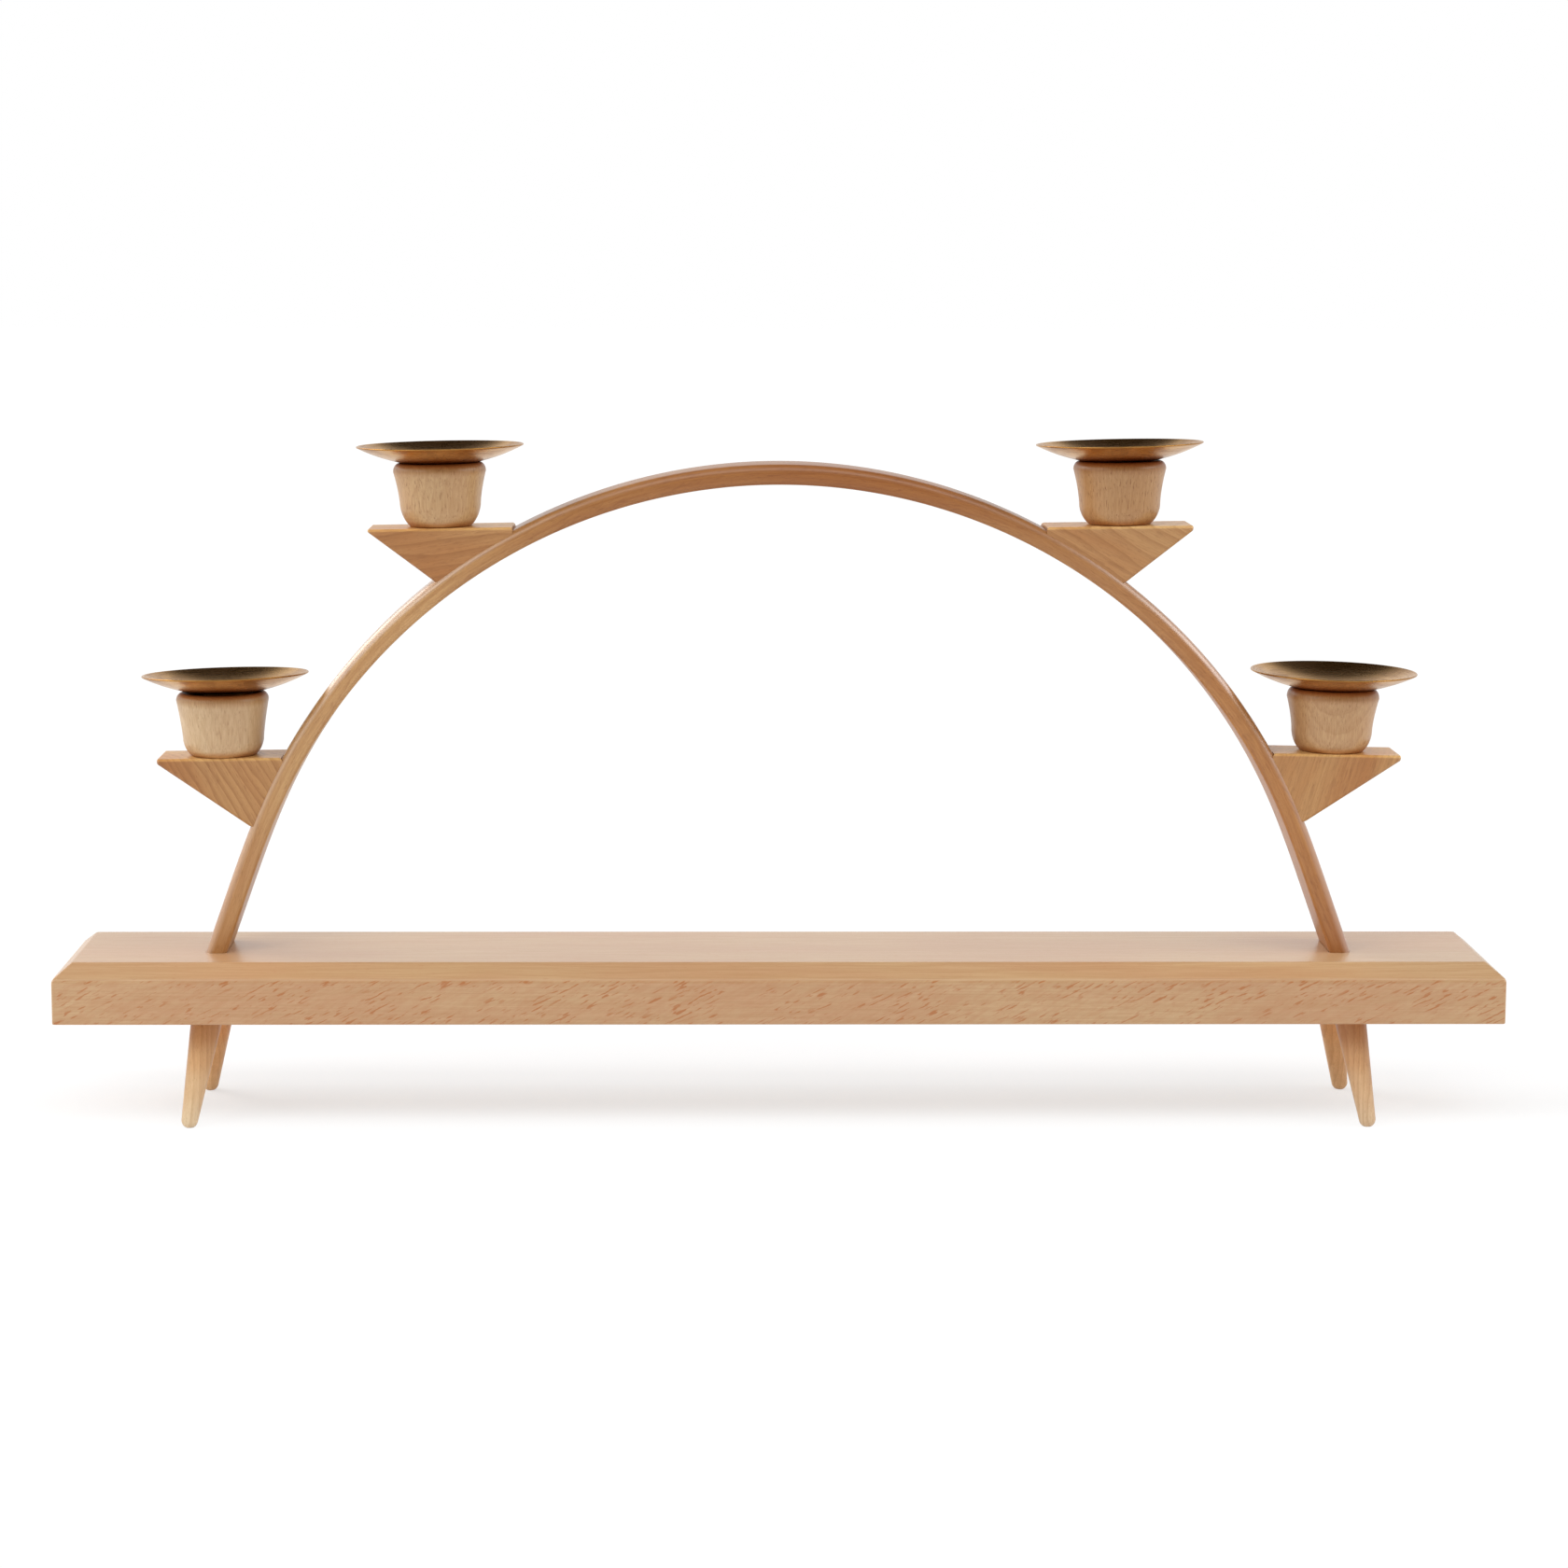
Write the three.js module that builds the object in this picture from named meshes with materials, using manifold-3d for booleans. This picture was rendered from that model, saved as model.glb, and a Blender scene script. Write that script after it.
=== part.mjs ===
// Candle arch: a bent wooden bow stands in a long board on four splayed peg legs. Four wedge
// brackets on the bow carry turned cups, and a loose brass tray with a candle sleeve lies on each.
// Millimetres, +Z up. The board lies along X, the origin is under its middle at floor level.

import * as THREE from 'three';
import { ConvexGeometry } from 'three/addons/geometries/ConvexGeometry.js';
import { mergeVertices } from 'three/addons/utils/BufferGeometryUtils.js';
import Module from 'manifold-3d';

// Board
const boardLength = 400;
const boardDepth = 60;
const boardThickness = 16.3;
const chamferHeight = 3.9;
const sideChamferRun = 6.5;
const endChamferRun = 4.7;
const boardArris = 0.5;

// Legs: their axes meet the board's underside beside the bow's feet and spread downwards
const legHeight = 30.1;
const legRootDiameter = 8.8;
const legTipDiameter = 4.6;
const legTipWear = 0.3;
const legBeyondFoot = 1.6;
const legBesideFoot = 8.2;
const legSpreadAlong = 5;
const legSpreadAcross = 5.7;
const legTenonLength = 8.5;
const legTenonEase = 0.8;

// Bow: a round crown that eases into straight feet
const bowThickness = 5.6;
const bowDepth = 20.5;
const bowEdgeRadius = 1.5;
const bowRise = 133.5;
const crownRadius = 154.9;
const crownHalfLength = 173.5;
const bowEaseLength = 32.7;
const bowFootDepth = 12;

// Brackets: a station is the distance along the bow from the crown's top to the bracket's thin end
const upperStation = 75.7;
const upperBracketLength = 39.7;
const upperBracketHeight = 14.6;
const lowerStation = 165.6;
const lowerBracketLength = 34.4;
const lowerBracketHeight = 18.9;
const bracketSetback = 0.75;
const bracketThinEnd = 0.9;
const bracketNose = 1.2;
const bracketToe = 0.4;
const bracketEase = 0.8;

// Cups
const cupHeight = 17.1;
const cupLipDiameter = 25.7;
const cupBellyDiameter = 22.6;
const cupFootRound = 3.5;
const cupFootHeight = 6;
const cupFlareDiameter = 23.8;
const cupFlareHeight = 11;
const cupLipEase = 0.2;
const cupLipHeight = 13.5;
const cupShoulderHeight = 1.8;
const cupSeatDiameter = 22;
const cupSeatDrop = 0.8;

// Cup screws
const screwDiameter = 3;
const screwHeadDiameter = 5.8;
const screwLength = 13.5;
const screwPoint = 3.5;
const screwSlotWidth = 0.8;
const screwSlotDepth = 0.7;

// Trays: a tray is a shallow cap of a ball
const trayDiameter = 46.4;
const trayBallRadius = 51;
const traySheet = 0.6;

// Candle sleeves
const candleDiameter = 14;
const candleClearance = 0.1;
const sleeveWall = 0.4;
const sleeveDepth = 12;
const sleeveFlange = 1.7;
const sleeveCorner = 0.8;
const sleeveSlack = 2;
const sleeveFloorClearance = 0.5;

// Clearances
const jointGap = 0.3;
const screwGap = 0.4;

// How each bracket was cut and glued: how much it is further down the bow, longer, taller and
// blunter than the usual one, how far its cup is set out, and its lean, in degrees, right side up
const upperLeftFit = { down: 0.1, longer: -0.3, taller: -0.5, blunter: -0.5, cupOut: 0, lean: 1.04 };
const upperRightFit = { down: -0.2, longer: 0.3, taller: 0.4, blunter: 0.1, cupOut: 0.5, lean: 0.72 };
const lowerLeftFit = { down: 0.7, longer: -0.5, taller: 0.1, blunter: 0.2, cupOut: -0.7, lean: 0.68 };
const lowerRightFit = { down: -0.8, longer: 0.5, taller: 0, blunter: 0.2, cupOut: -0.8, lean: -1.03 };

// How each tray lies: its right side and its back raised, in degrees, and how far it has slid
// to the right and to the back on its cup
const upperLeftLie = { right: 1.1, back: -0.2, slideRight: 0.25, slideBack: 0.1 };
const upperRightLie = { right: 1.4, back: -0.6, slideRight: -0.6, slideBack: 0.2 };
const lowerLeftLie = { right: 1.4, back: -2, slideRight: 0.4, slideBack: 1.4 };
const lowerRightLie = { right: -1.2, back: 0.4, slideRight: 0.1, slideBack: 0 };

// Facets
const bowSteps = 54;
const cornerFacets = 1;
const bracketSlices = 8;
const cupFacets = 32;
const sleeveFacets = 28;
const trayFacets = 40;
const trayBands = 4;
const legFacets = 20;
const screwFacets = 14;
const legTipSteps = 4;
const cupFootSteps = 4;
const cupShoulderSteps = 3;

// How fine the sums and searches are
const weldDistance = 1e-4;
const pathSlices = 120;
const halvings = 48;

// Worked out from the driving dimensions
const boardTop = legHeight + boardThickness;
const crownTop = boardTop + bowRise;
const legRootRadius = legRootDiameter / 2;
const legTipRadius = legTipDiameter / 2;
const legTipCentre = legTipRadius - legTipWear;
const bracketDepth = bowDepth - 2 * bracketSetback;
const sleeveInner = candleDiameter / 2 + candleClearance;
const sleeveOuter = sleeveInner + sleeveWall;
const socketRadius = sleeveOuter + sleeveSlack;
const socketDepth = sleeveDepth + sleeveFloorClearance;
const socketFloor = cupHeight - socketDepth;
const holeInTray = sleeveOuter + jointGap;
const screwRadius = screwDiameter / 2;
const screwHeadRadius = screwHeadDiameter / 2;
const screwHeadCone = screwHeadRadius - screwRadius;
const screwTipDepth = screwLength - socketFloor;
const cupSeatRadius = cupSeatDiameter / 2;
const trayBallCentre = Math.sqrt(trayBallRadius ** 2 - cupSeatRadius ** 2);

const wasm = await Module();
wasm.setup();

// One vertex at each place, and no triangle that has collapsed into a line
function weld(geometry) {
  const bare = geometry.clone();
  bare.deleteAttribute('normal');
  bare.deleteAttribute('uv');
  const welded = mergeVertices(bare, weldDistance);
  const corners = welded.index.array;
  const kept = [];
  for (let i = 0; i < corners.length; i += 3) {
    const [a, b, c] = corners.slice(i, i + 3);
    if (a !== b && b !== c && c !== a) {
      kept.push(a, b, c);
    }
  }
  welded.setIndex(kept);
  return faceOutward(welded);
}

// Six times the enclosed volume is positive when the faces point out
function faceOutward(geometry) {
  const place = geometry.attributes.position;
  const corners = geometry.index.array;
  const [p, q, r] = [new THREE.Vector3(), new THREE.Vector3(), new THREE.Vector3()];
  let volume = 0;
  for (let i = 0; i < corners.length; i += 3) {
    p.fromBufferAttribute(place, corners[i]);
    q.fromBufferAttribute(place, corners[i + 1]);
    r.fromBufferAttribute(place, corners[i + 2]);
    volume += p.dot(q.cross(r));
  }
  if (volume < 0) {
    geometry.setIndex(Array.from(corners).reverse());
  }
  return geometry;
}

function solidOf(geometry) {
  const welded = weld(geometry);
  return new wasm.Manifold(new wasm.Mesh({
    numProp: 3,
    vertProperties: new Float32Array(welded.attributes.position.array),
    triVerts: new Uint32Array(welded.index.array),
  }));
}

function geometryOf(solid) {
  const mesh = solid.getMesh();
  const geometry = new THREE.BufferGeometry();
  geometry.setAttribute('position', new THREE.BufferAttribute(mesh.vertProperties, 3));
  geometry.setIndex(new THREE.BufferAttribute(mesh.triVerts, 1));
  return geometry;
}

// A turned shape about Z from [radius, height] points
function turned(points, facets) {
  const profile = points.map(([radius, height]) => new THREE.Vector2(radius, height));
  return new THREE.LatheGeometry(profile, facets).rotateX(Math.PI / 2);
}

// Points on a quarter turn or less, about a centre, from one angle to another in radians
function arcPoints(centreRadius, centreHeight, width, height, start, end, count) {
  const points = [];
  for (let i = 0; i <= count; i += 1) {
    const angle = start + ((end - start) * i) / count;
    points.push([
      centreRadius + width * Math.cos(angle),
      centreHeight + height * Math.sin(angle),
    ]);
  }
  return points;
}

function box(sizeX, sizeY, sizeZ, centreX, centreY, centreZ) {
  return new THREE.BoxGeometry(sizeX, sizeY, sizeZ).translate(centreX, centreY, centreZ);
}

// The root of a falling function between two values, by halving
function whereZero(fall, low, high) {
  let [a, b] = [low, high];
  for (let i = 0; i < halvings; i += 1) {
    const middle = (a + b) / 2;
    if (fall(middle) > 0) {
      a = middle;
    } else {
      b = middle;
    }
  }
  return (a + b) / 2;
}

// How far the bow has turned from level at a distance along it from the crown's top: it turns
// evenly round the crown, less and less along the ease, and not at all in the feet
function bowTurn(station) {
  const distance = Math.abs(station);
  const eased = Math.min(Math.max(distance - crownHalfLength, 0), bowEaseLength);
  const round = Math.min(distance, crownHalfLength) + eased - eased ** 2 / (2 * bowEaseLength);
  return (Math.sign(station) * round) / crownRadius;
}

// A point at a distance outside the bow's centreline, summed along it from the crown's top
function bowPoint(station, outside = 0) {
  const slice = station / pathSlices;
  let [x, z] = [0, crownTop];
  for (let i = 0; i < pathSlices; i += 1) {
    const turn = bowTurn((i + 0.5) * slice);
    x += Math.cos(turn) * slice;
    z -= Math.sin(turn) * slice;
  }
  const turn = bowTurn(station);
  return { x: x + outside * Math.sin(turn), z: z + outside * Math.cos(turn) };
}

function stationAtHeight(height, outside = 0) {
  const farEnd = crownHalfLength + bowEaseLength + bowRise;
  return whereZero((station) => bowPoint(station, outside).z - height, 0, farEnd);
}

const footStation = stationAtHeight(boardTop);
const footX = bowPoint(footStation).x;
const footTurn = bowTurn(footStation);
const bowHalfLength = footStation + bowFootDepth / Math.sin(footTurn);

class BowCurve extends THREE.Curve {
  constructor(halfLength) {
    super();
    this.halfLength = halfLength;
  }

  getPoint(t, target = new THREE.Vector3()) {
    const { x, z } = bowPoint((2 * t - 1) * this.halfLength);
    return target.set(x, 0, z);
  }
}

// The bow's round-edged section carried along its centreline, larger all round by a margin
function bowSweep(margin) {
  const halfDepth = bowDepth / 2 + margin;
  const halfThickness = bowThickness / 2 + margin;
  const round = bowEdgeRadius + margin;
  const section = new THREE.Shape();
  section.moveTo(halfDepth, round - halfThickness);
  section.lineTo(halfDepth, halfThickness - round);
  section.absarc(halfDepth - round, halfThickness - round, round, 0, Math.PI / 2);
  section.absarc(round - halfDepth, halfThickness - round, round, Math.PI / 2, Math.PI);
  section.absarc(round - halfDepth, round - halfThickness, round, Math.PI, 1.5 * Math.PI);
  section.absarc(halfDepth - round, round - halfThickness, round, 1.5 * Math.PI, 2 * Math.PI);
  return new THREE.ExtrudeGeometry(section, {
    steps: bowSteps,
    curveSegments: cornerFacets,
    extrudePath: new BowCurve(bowHalfLength + margin),
  });
}

// Legs
const legRootX = footX + legBeyondFoot;
const legRootY = bowDepth / 2 + legBesideFoot;
const legDrop = legHeight - legTipCentre;
const legSlantLength = Math.hypot(
  legSpreadAlong * (legDrop / legHeight),
  legSpreadAcross * (legDrop / legHeight),
  legDrop,
);

// Lays a shape made about Z on a leg's axis, with its zero at the middle of the leg's tip
function onLegAxis(geometry, alongSide, acrossSide) {
  const up = new THREE.Vector3(
    -alongSide * legSpreadAlong,
    -acrossSide * legSpreadAcross,
    legHeight,
  ).normalize();
  const root = new THREE.Vector3(alongSide * legRootX, acrossSide * legRootY, legHeight);
  const tip = root.clone().addScaledVector(up, -legSlantLength);
  const turn = new THREE.Quaternion().setFromUnitVectors(new THREE.Vector3(0, 0, 1), up);
  return geometry.applyMatrix4(new THREE.Matrix4().compose(tip, turn, new THREE.Vector3(1, 1, 1)));
}

function legGeometry(alongSide, acrossSide) {
  const top = legSlantLength + legTenonLength;
  const peg = turned([
    ...arcPoints(0, 0, legTipRadius, legTipRadius, -Math.PI / 2, 0, legTipSteps),
    [legRootRadius, legSlantLength],
    [legRootRadius, top - legTenonEase],
    [legRootRadius - legTenonEase, top],
    [0, top],
  ], legFacets);
  const solid = solidOf(onLegAxis(peg, alongSide, acrossSide));
  const size = 2 * (legSlantLength + legRootDiameter);
  const floor = box(size, size, size, alongSide * legRootX, acrossSide * legRootY, -size / 2);
  return geometryOf(solid.subtract(solidOf(floor)));
}

function legBore(alongSide, acrossSide) {
  const radius = legRootRadius + jointGap;
  const bottom = legSlantLength - legRootDiameter;
  const top = legSlantLength + legTenonLength + jointGap;
  const bore = turned([[0, bottom], [radius, bottom], [radius, top], [0, top]], legFacets);
  return solidOf(onLegAxis(bore, alongSide, acrossSide));
}

// Board: three rectangles, one above the other, joined by flat faces, then bored
function boardGeometry() {
  const levels = [
    [legHeight, boardArris, boardArris],
    [legHeight + boardArris, 0, 0],
    [boardTop - chamferHeight, 0, 0],
    [boardTop, endChamferRun, sideChamferRun],
  ];
  const corners = levels.flatMap(([height, endInset, sideInset]) => {
    const x = boardLength / 2 - endInset;
    const y = boardDepth / 2 - sideInset;
    return [[x, y], [-x, y], [-x, -y], [x, -y]].map(([a, b]) => new THREE.Vector3(a, b, height));
  });
  let board = solidOf(new ConvexGeometry(corners)).subtract(solidOf(bowSweep(jointGap)));
  for (const along of [-1, 1]) {
    for (const across of [-1, 1]) {
      board = board.subtract(legBore(along, across));
    }
  }
  return geometryOf(board);
}

// Where a bracket lies. It is drawn in its own frame: the zero is where its flat top ends at the
// bow, X runs out along the top, and a lean raises the outer end
function bracketPlace(station, length, height, nose, cupAlong, lean) {
  const skin = bowThickness / 2 + jointGap;
  const thinEnd = bowPoint(station, skin);
  const origin = {
    x: thinEnd.x - bracketThinEnd * Math.sin(lean),
    z: thinEnd.z + bracketThinEnd * Math.cos(lean),
  };
  const inFrame = (point) => {
    const [x, z] = [point.x - origin.x, point.z - origin.z];
    return {
      x: x * Math.cos(lean) + z * Math.sin(lean),
      z: z * Math.cos(lean) - x * Math.sin(lean),
    };
  };
  const depthAt = (reached) => inFrame(bowPoint(reached, skin)).z + height;
  const toeStation = whereZero(depthAt, station, bowHalfLength);
  return { station, length, height, nose, cupAlong, lean, skin, origin, inFrame, toeStation };
}

// A long bar with its two edges eased along one side, which is laid on an edge of the bracket
function easedBar(place, start, end, below) {
  const run = Math.hypot(end.x - start.x, end.z - start.z);
  const half = bracketDepth / 2;
  const reach = 2 * (place.length + place.height);
  const section = new THREE.Shape();
  section.moveTo(-half, -reach);
  section.lineTo(half, -reach);
  section.lineTo(half, -bracketEase);
  section.lineTo(half - bracketEase, 0);
  section.lineTo(bracketEase - half, 0);
  section.lineTo(-half, -bracketEase);
  const bar = new THREE.ExtrudeGeometry(section, { depth: run + 2 * reach, bevelEnabled: false });
  bar.rotateX(Math.PI / 2);
  bar.rotateZ(Math.PI / 2);
  bar.translate(-reach, 0, 0);
  bar.rotateX(below ? Math.PI : 0);
  bar.rotateY(-Math.atan2(end.z - start.z, end.x - start.x));
  bar.translate(start.x, 0, start.z);
  return solidOf(bar);
}

// Bracket: a wedge whose inner side follows the bow, drawn from the side and cut across its depth
function bracketGeometry(place) {
  const noseTop = { x: place.length, z: 0 };
  const nose = { x: place.length, z: -place.nose };
  const toe = place.inFrame(bowPoint(place.toeStation, place.skin));
  const heel = { x: toe.x + bracketToe, z: toe.z };
  const outline = new THREE.Shape();
  outline.moveTo(0, 0);
  outline.lineTo(noseTop.x, noseTop.z);
  outline.lineTo(nose.x, nose.z);
  outline.lineTo(heel.x, heel.z);
  for (let i = 0; i <= bracketSlices; i += 1) {
    const station = place.toeStation + ((place.station - place.toeStation) * i) / bracketSlices;
    const point = place.inFrame(bowPoint(station, place.skin));
    outline.lineTo(point.x, point.z);
  }
  const block = new THREE.ExtrudeGeometry(outline, { depth: bracketDepth, bevelEnabled: false });
  block.rotateX(Math.PI / 2);
  block.translate(0, bracketDepth / 2, 0);
  const pilot = turned([
    [0, -screwTipDepth - jointGap],
    [screwRadius + screwGap, screwPoint - screwTipDepth],
    [screwRadius + screwGap, jointGap],
    [0, jointGap],
  ], screwFacets).translate(place.cupAlong, 0, 0);
  const wedge = solidOf(block)
    .intersect(easedBar(place, { x: 0, z: 0 }, noseTop, false))
    .intersect(easedBar(place, heel, nose, true))
    .subtract(solidOf(pilot));
  return geometryOf(wedge);
}

// Cup: a foot and a shoulder that are each a quarter of an ellipse, a flank that widens little at
// first and then faster, and a mouth that falls from the seat to the socket
function cupGeometry() {
  const bellyRadius = cupBellyDiameter / 2;
  const lipRadius = cupLipDiameter / 2;
  const shoulderStart = cupHeight - cupShoulderHeight;
  const shoulderWidth = lipRadius - cupSeatRadius;
  const countersink = screwHeadRadius + screwGap;
  const hole = screwRadius + screwGap;
  const points = [
    [hole, 0],
    ...arcPoints(bellyRadius - cupFootRound, cupFootHeight, cupFootRound, cupFootHeight,
      -Math.PI / 2, 0, cupFootSteps),
    [cupFlareDiameter / 2, cupFlareHeight],
    [lipRadius - cupLipEase, cupLipHeight],
    ...arcPoints(cupSeatRadius, shoulderStart, shoulderWidth, cupShoulderHeight, 0,
      Math.PI / 2, cupShoulderSteps),
    [socketRadius, cupHeight - cupSeatDrop],
    [socketRadius, socketFloor],
    [countersink, socketFloor],
    [hole, socketFloor - (countersink - hole)],
    [hole, 0],
  ];
  return turned(points, cupFacets);
}

// Cup screw: countersunk, slotted, its head flush with the socket's floor at zero height
function screwGeometry() {
  const shank = turned([
    [0, -screwLength],
    [screwRadius, screwPoint - screwLength],
    [screwRadius, -screwHeadCone],
    [screwHeadRadius, 0],
    [0, 0],
  ], screwFacets);
  const slot = box(2 * screwHeadDiameter, screwSlotWidth, 2 * screwSlotDepth, 0, 0, 0);
  return geometryOf(solidOf(shank).subtract(solidOf(slot)));
}

// Height of a ball's lower side over the ring it rests on, at a distance from its axis
function ballHeight(ballRadius, distance) {
  return trayBallCentre - Math.sqrt(ballRadius ** 2 - distance ** 2);
}

// Tray: a cap of a ball in thin sheet with a round hole. The zero is in the plane of the ring on
// the cup that its ball rests on
function trayGeometry() {
  const outer = [];
  const inner = [];
  const rim = Math.asin(trayDiameter / 2 / trayBallRadius);
  for (let i = 0; i <= trayBands; i += 1) {
    const start = Math.asin(holeInTray / trayBallRadius);
    const angle = start + ((rim - start) * i) / trayBands;
    outer.push([trayBallRadius * Math.sin(angle), trayBallCentre - trayBallRadius * Math.cos(angle)]);
    const inside = trayBallRadius - traySheet;
    inner.unshift([inside * Math.sin(angle), trayBallCentre - inside * Math.cos(angle)]);
  }
  return turned([...outer, ...inner, outer[0]], trayFacets);
}

// Candle sleeve: a drawn tube with a floor, its flange lying on the inside of the tray
function sleeveGeometry() {
  const under = trayBallRadius - traySheet - jointGap;
  const over = under - sleeveWall;
  const flangeRadius = sleeveOuter + sleeveFlange;
  return turned([
    [0, -sleeveDepth],
    [sleeveOuter - sleeveCorner, -sleeveDepth],
    [sleeveOuter, sleeveCorner - sleeveDepth],
    [sleeveOuter, ballHeight(under, sleeveOuter)],
    [flangeRadius, ballHeight(under, flangeRadius)],
    [flangeRadius, ballHeight(over, flangeRadius)],
    [sleeveInner, ballHeight(over, sleeveInner)],
    [sleeveInner, sleeveWall - sleeveDepth],
    [0, sleeveWall - sleeveDepth],
  ], sleeveFacets);
}

// Finishes
const beechBoard = { color: 0xdcbd9a, roughness: 0.5, metalness: 0 };
const beechBow = { color: 0xc59b6f, roughness: 0.45, metalness: 0 };
const beechBracket = { color: 0xb98e62, roughness: 0.55, metalness: 0 };
const beechCup = { color: 0xe3c9a6, roughness: 0.5, metalness: 0 };
const beechLeg = { color: 0xd6b68d, roughness: 0.55, metalness: 0 };
const brass = { color: 0xb08f45, roughness: 0.35, metalness: 1 };
const steel = { color: 0x8d9094, roughness: 0.4, metalness: 1 };

const arch = new THREE.Group();

function piece(parent, name, geometry, finish) {
  const mesh = new THREE.Mesh(weld(geometry), new THREE.MeshStandardMaterial(finish));
  mesh.name = name;
  parent.add(mesh);
  return mesh;
}

piece(arch, 'base_board', boardGeometry(), beechBoard);
piece(arch, 'bow', bowSweep(0), beechBow);
for (const [sideName, along] of [['left', -1], ['right', 1]]) {
  for (const [rowName, across] of [['front', -1], ['back', 1]]) {
    piece(arch, `leg_${rowName}_${sideName}`, legGeometry(along, across), beechLeg);
  }
}

// A bracket with its cup and screw, turned about Z for the left side and then leaned, and its
// tray with the sleeve, which is tipped about the middle of the ball and slid on the cup's seat
function candlePlace(name, side, usual, fit, lie) {
  const lean = THREE.MathUtils.degToRad(fit.lean);
  const length = usual.length + fit.longer;
  const bracket = bracketPlace(usual.station + fit.down, length, usual.height + fit.taller,
    bracketNose + fit.blunter, length / 2 + fit.cupOut, side * lean);
  const place = new THREE.Group();
  place.position.set(side * bracket.origin.x, 0, bracket.origin.z);
  place.rotation.set(0, -lean, side < 0 ? Math.PI : 0);
  arch.add(place);
  piece(place, `${name}_bracket`, bracketGeometry(bracket), beechBracket);
  const cup = piece(place, `${name}_cup`, cupGeometry(), beechCup);
  cup.position.set(bracket.cupAlong, 0, jointGap);
  const screw = piece(place, `${name}_cup_screw`, screwGeometry(), steel);
  screw.position.set(bracket.cupAlong, 0, jointGap + socketFloor);

  const slid = Math.hypot(lie.slideRight, lie.slideBack);
  const raise = jointGap * (trayBallRadius / trayBallCentre) + slid * (cupSeatRadius / trayBallCentre);
  const ballCentre = new THREE.Vector3(
    bracket.cupAlong + side * lie.slideRight,
    side * lie.slideBack,
    jointGap + cupHeight + raise + trayBallCentre,
  );
  place.updateMatrix();
  const loose = new THREE.Group();
  loose.position.copy(ballCentre.applyMatrix4(place.matrix));
  loose.rotation.set(THREE.MathUtils.degToRad(lie.back), -THREE.MathUtils.degToRad(lie.right), 0);
  arch.add(loose);
  const tray = piece(loose, `${name}_tray`, trayGeometry(), brass);
  tray.position.z = -trayBallCentre;
  const sleeve = piece(loose, `${name}_candle_sleeve`, sleeveGeometry(), brass);
  sleeve.position.z = -trayBallCentre;
}

const upper = { station: upperStation, length: upperBracketLength, height: upperBracketHeight };
const lower = { station: lowerStation, length: lowerBracketLength, height: lowerBracketHeight };
candlePlace('upper_left', -1, upper, upperLeftFit, upperLeftLie);
candlePlace('upper_right', 1, upper, upperRightFit, upperRightLie);
candlePlace('lower_left', -1, lower, lowerLeftFit, lowerLeftLie);
candlePlace('lower_right', 1, lower, lowerRightFit, lowerRightLie);

export default arch;
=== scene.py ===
"""Candle arch: the looks of a bent beech bow on a beech board, with turned cups and brass trays."""

import bpy
import numpy as np
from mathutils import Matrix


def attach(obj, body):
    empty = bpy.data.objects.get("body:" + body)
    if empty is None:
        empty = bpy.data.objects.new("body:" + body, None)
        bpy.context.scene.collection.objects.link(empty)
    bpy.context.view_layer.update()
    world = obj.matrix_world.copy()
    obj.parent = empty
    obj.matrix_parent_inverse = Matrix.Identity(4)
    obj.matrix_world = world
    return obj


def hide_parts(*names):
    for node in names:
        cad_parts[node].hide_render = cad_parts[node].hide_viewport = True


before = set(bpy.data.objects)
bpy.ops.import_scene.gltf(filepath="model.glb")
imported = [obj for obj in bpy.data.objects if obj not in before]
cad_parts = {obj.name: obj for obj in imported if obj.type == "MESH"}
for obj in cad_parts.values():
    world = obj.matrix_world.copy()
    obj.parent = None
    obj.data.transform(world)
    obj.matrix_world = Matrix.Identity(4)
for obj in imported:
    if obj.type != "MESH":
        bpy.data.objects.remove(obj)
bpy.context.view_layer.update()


# Base board
# A plank of steamed beech, planed all round, with its four upper edges cut to a flat chamfer
# and every arris rubbed down before it was lacquered. Its front shows the wood's ray flecks.

board_length, board_depth = 0.400, 0.060
board_bottom, board_top = 0.0301, 0.0464
chamfer_height, chamfer_along_side, chamfer_along_end = 0.0039, 0.0065, 0.0047
board_arris, board_corner = 0.0005, 0.0006
chamfer_ease, flat_margin = 0.0011, 0.002

# The tones of the lacquered wood as seen on screen: light, dark, blush and ray fleck
board_tones = ((208, 171, 128), (186, 140, 92), (202, 156, 116), (182, 110, 54))


def colour(red, green, blue):
    """A colour seen on screen, 0 to 255, as the linear light that a shader works with."""
    screen = np.array([red, green, blue]) / 255
    linear = np.where(screen < 0.04045, screen / 12.92, ((screen + 0.055) / 1.055) ** 2.4)
    return (*linear, 1.0)


def eased(corners, reach, steps=5):
    """An open line of points with every inner corner rounded: each corner gives way to the
    parabola that leaves the line `reach` before it and meets it again `reach` after it, or
    0.45 of the shorter side where that is less."""
    corners = np.asarray(corners, float)
    before, here, after = corners[:-2], corners[1:-1], corners[2:]
    back, on = before - here, after - here
    back_length = np.linalg.norm(back, axis=1, keepdims=True)
    on_length = np.linalg.norm(on, axis=1, keepdims=True)
    wanted = np.broadcast_to(np.asarray(reach, float), len(here))[:, None]
    cut = np.minimum(wanted, 0.45 * np.minimum(back_length, on_length))
    start, end = here + back / back_length * cut, here + on / on_length * cut
    t = np.linspace(0, 1, steps)[None, :, None]
    curve = (1 - t) ** 2 * start[:, None] + 2 * t * (1 - t) * here[:, None] + t**2 * end[:, None]
    return np.concatenate([corners[:1], curve.reshape(-1, corners.shape[1]), corners[-1:]])


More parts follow.
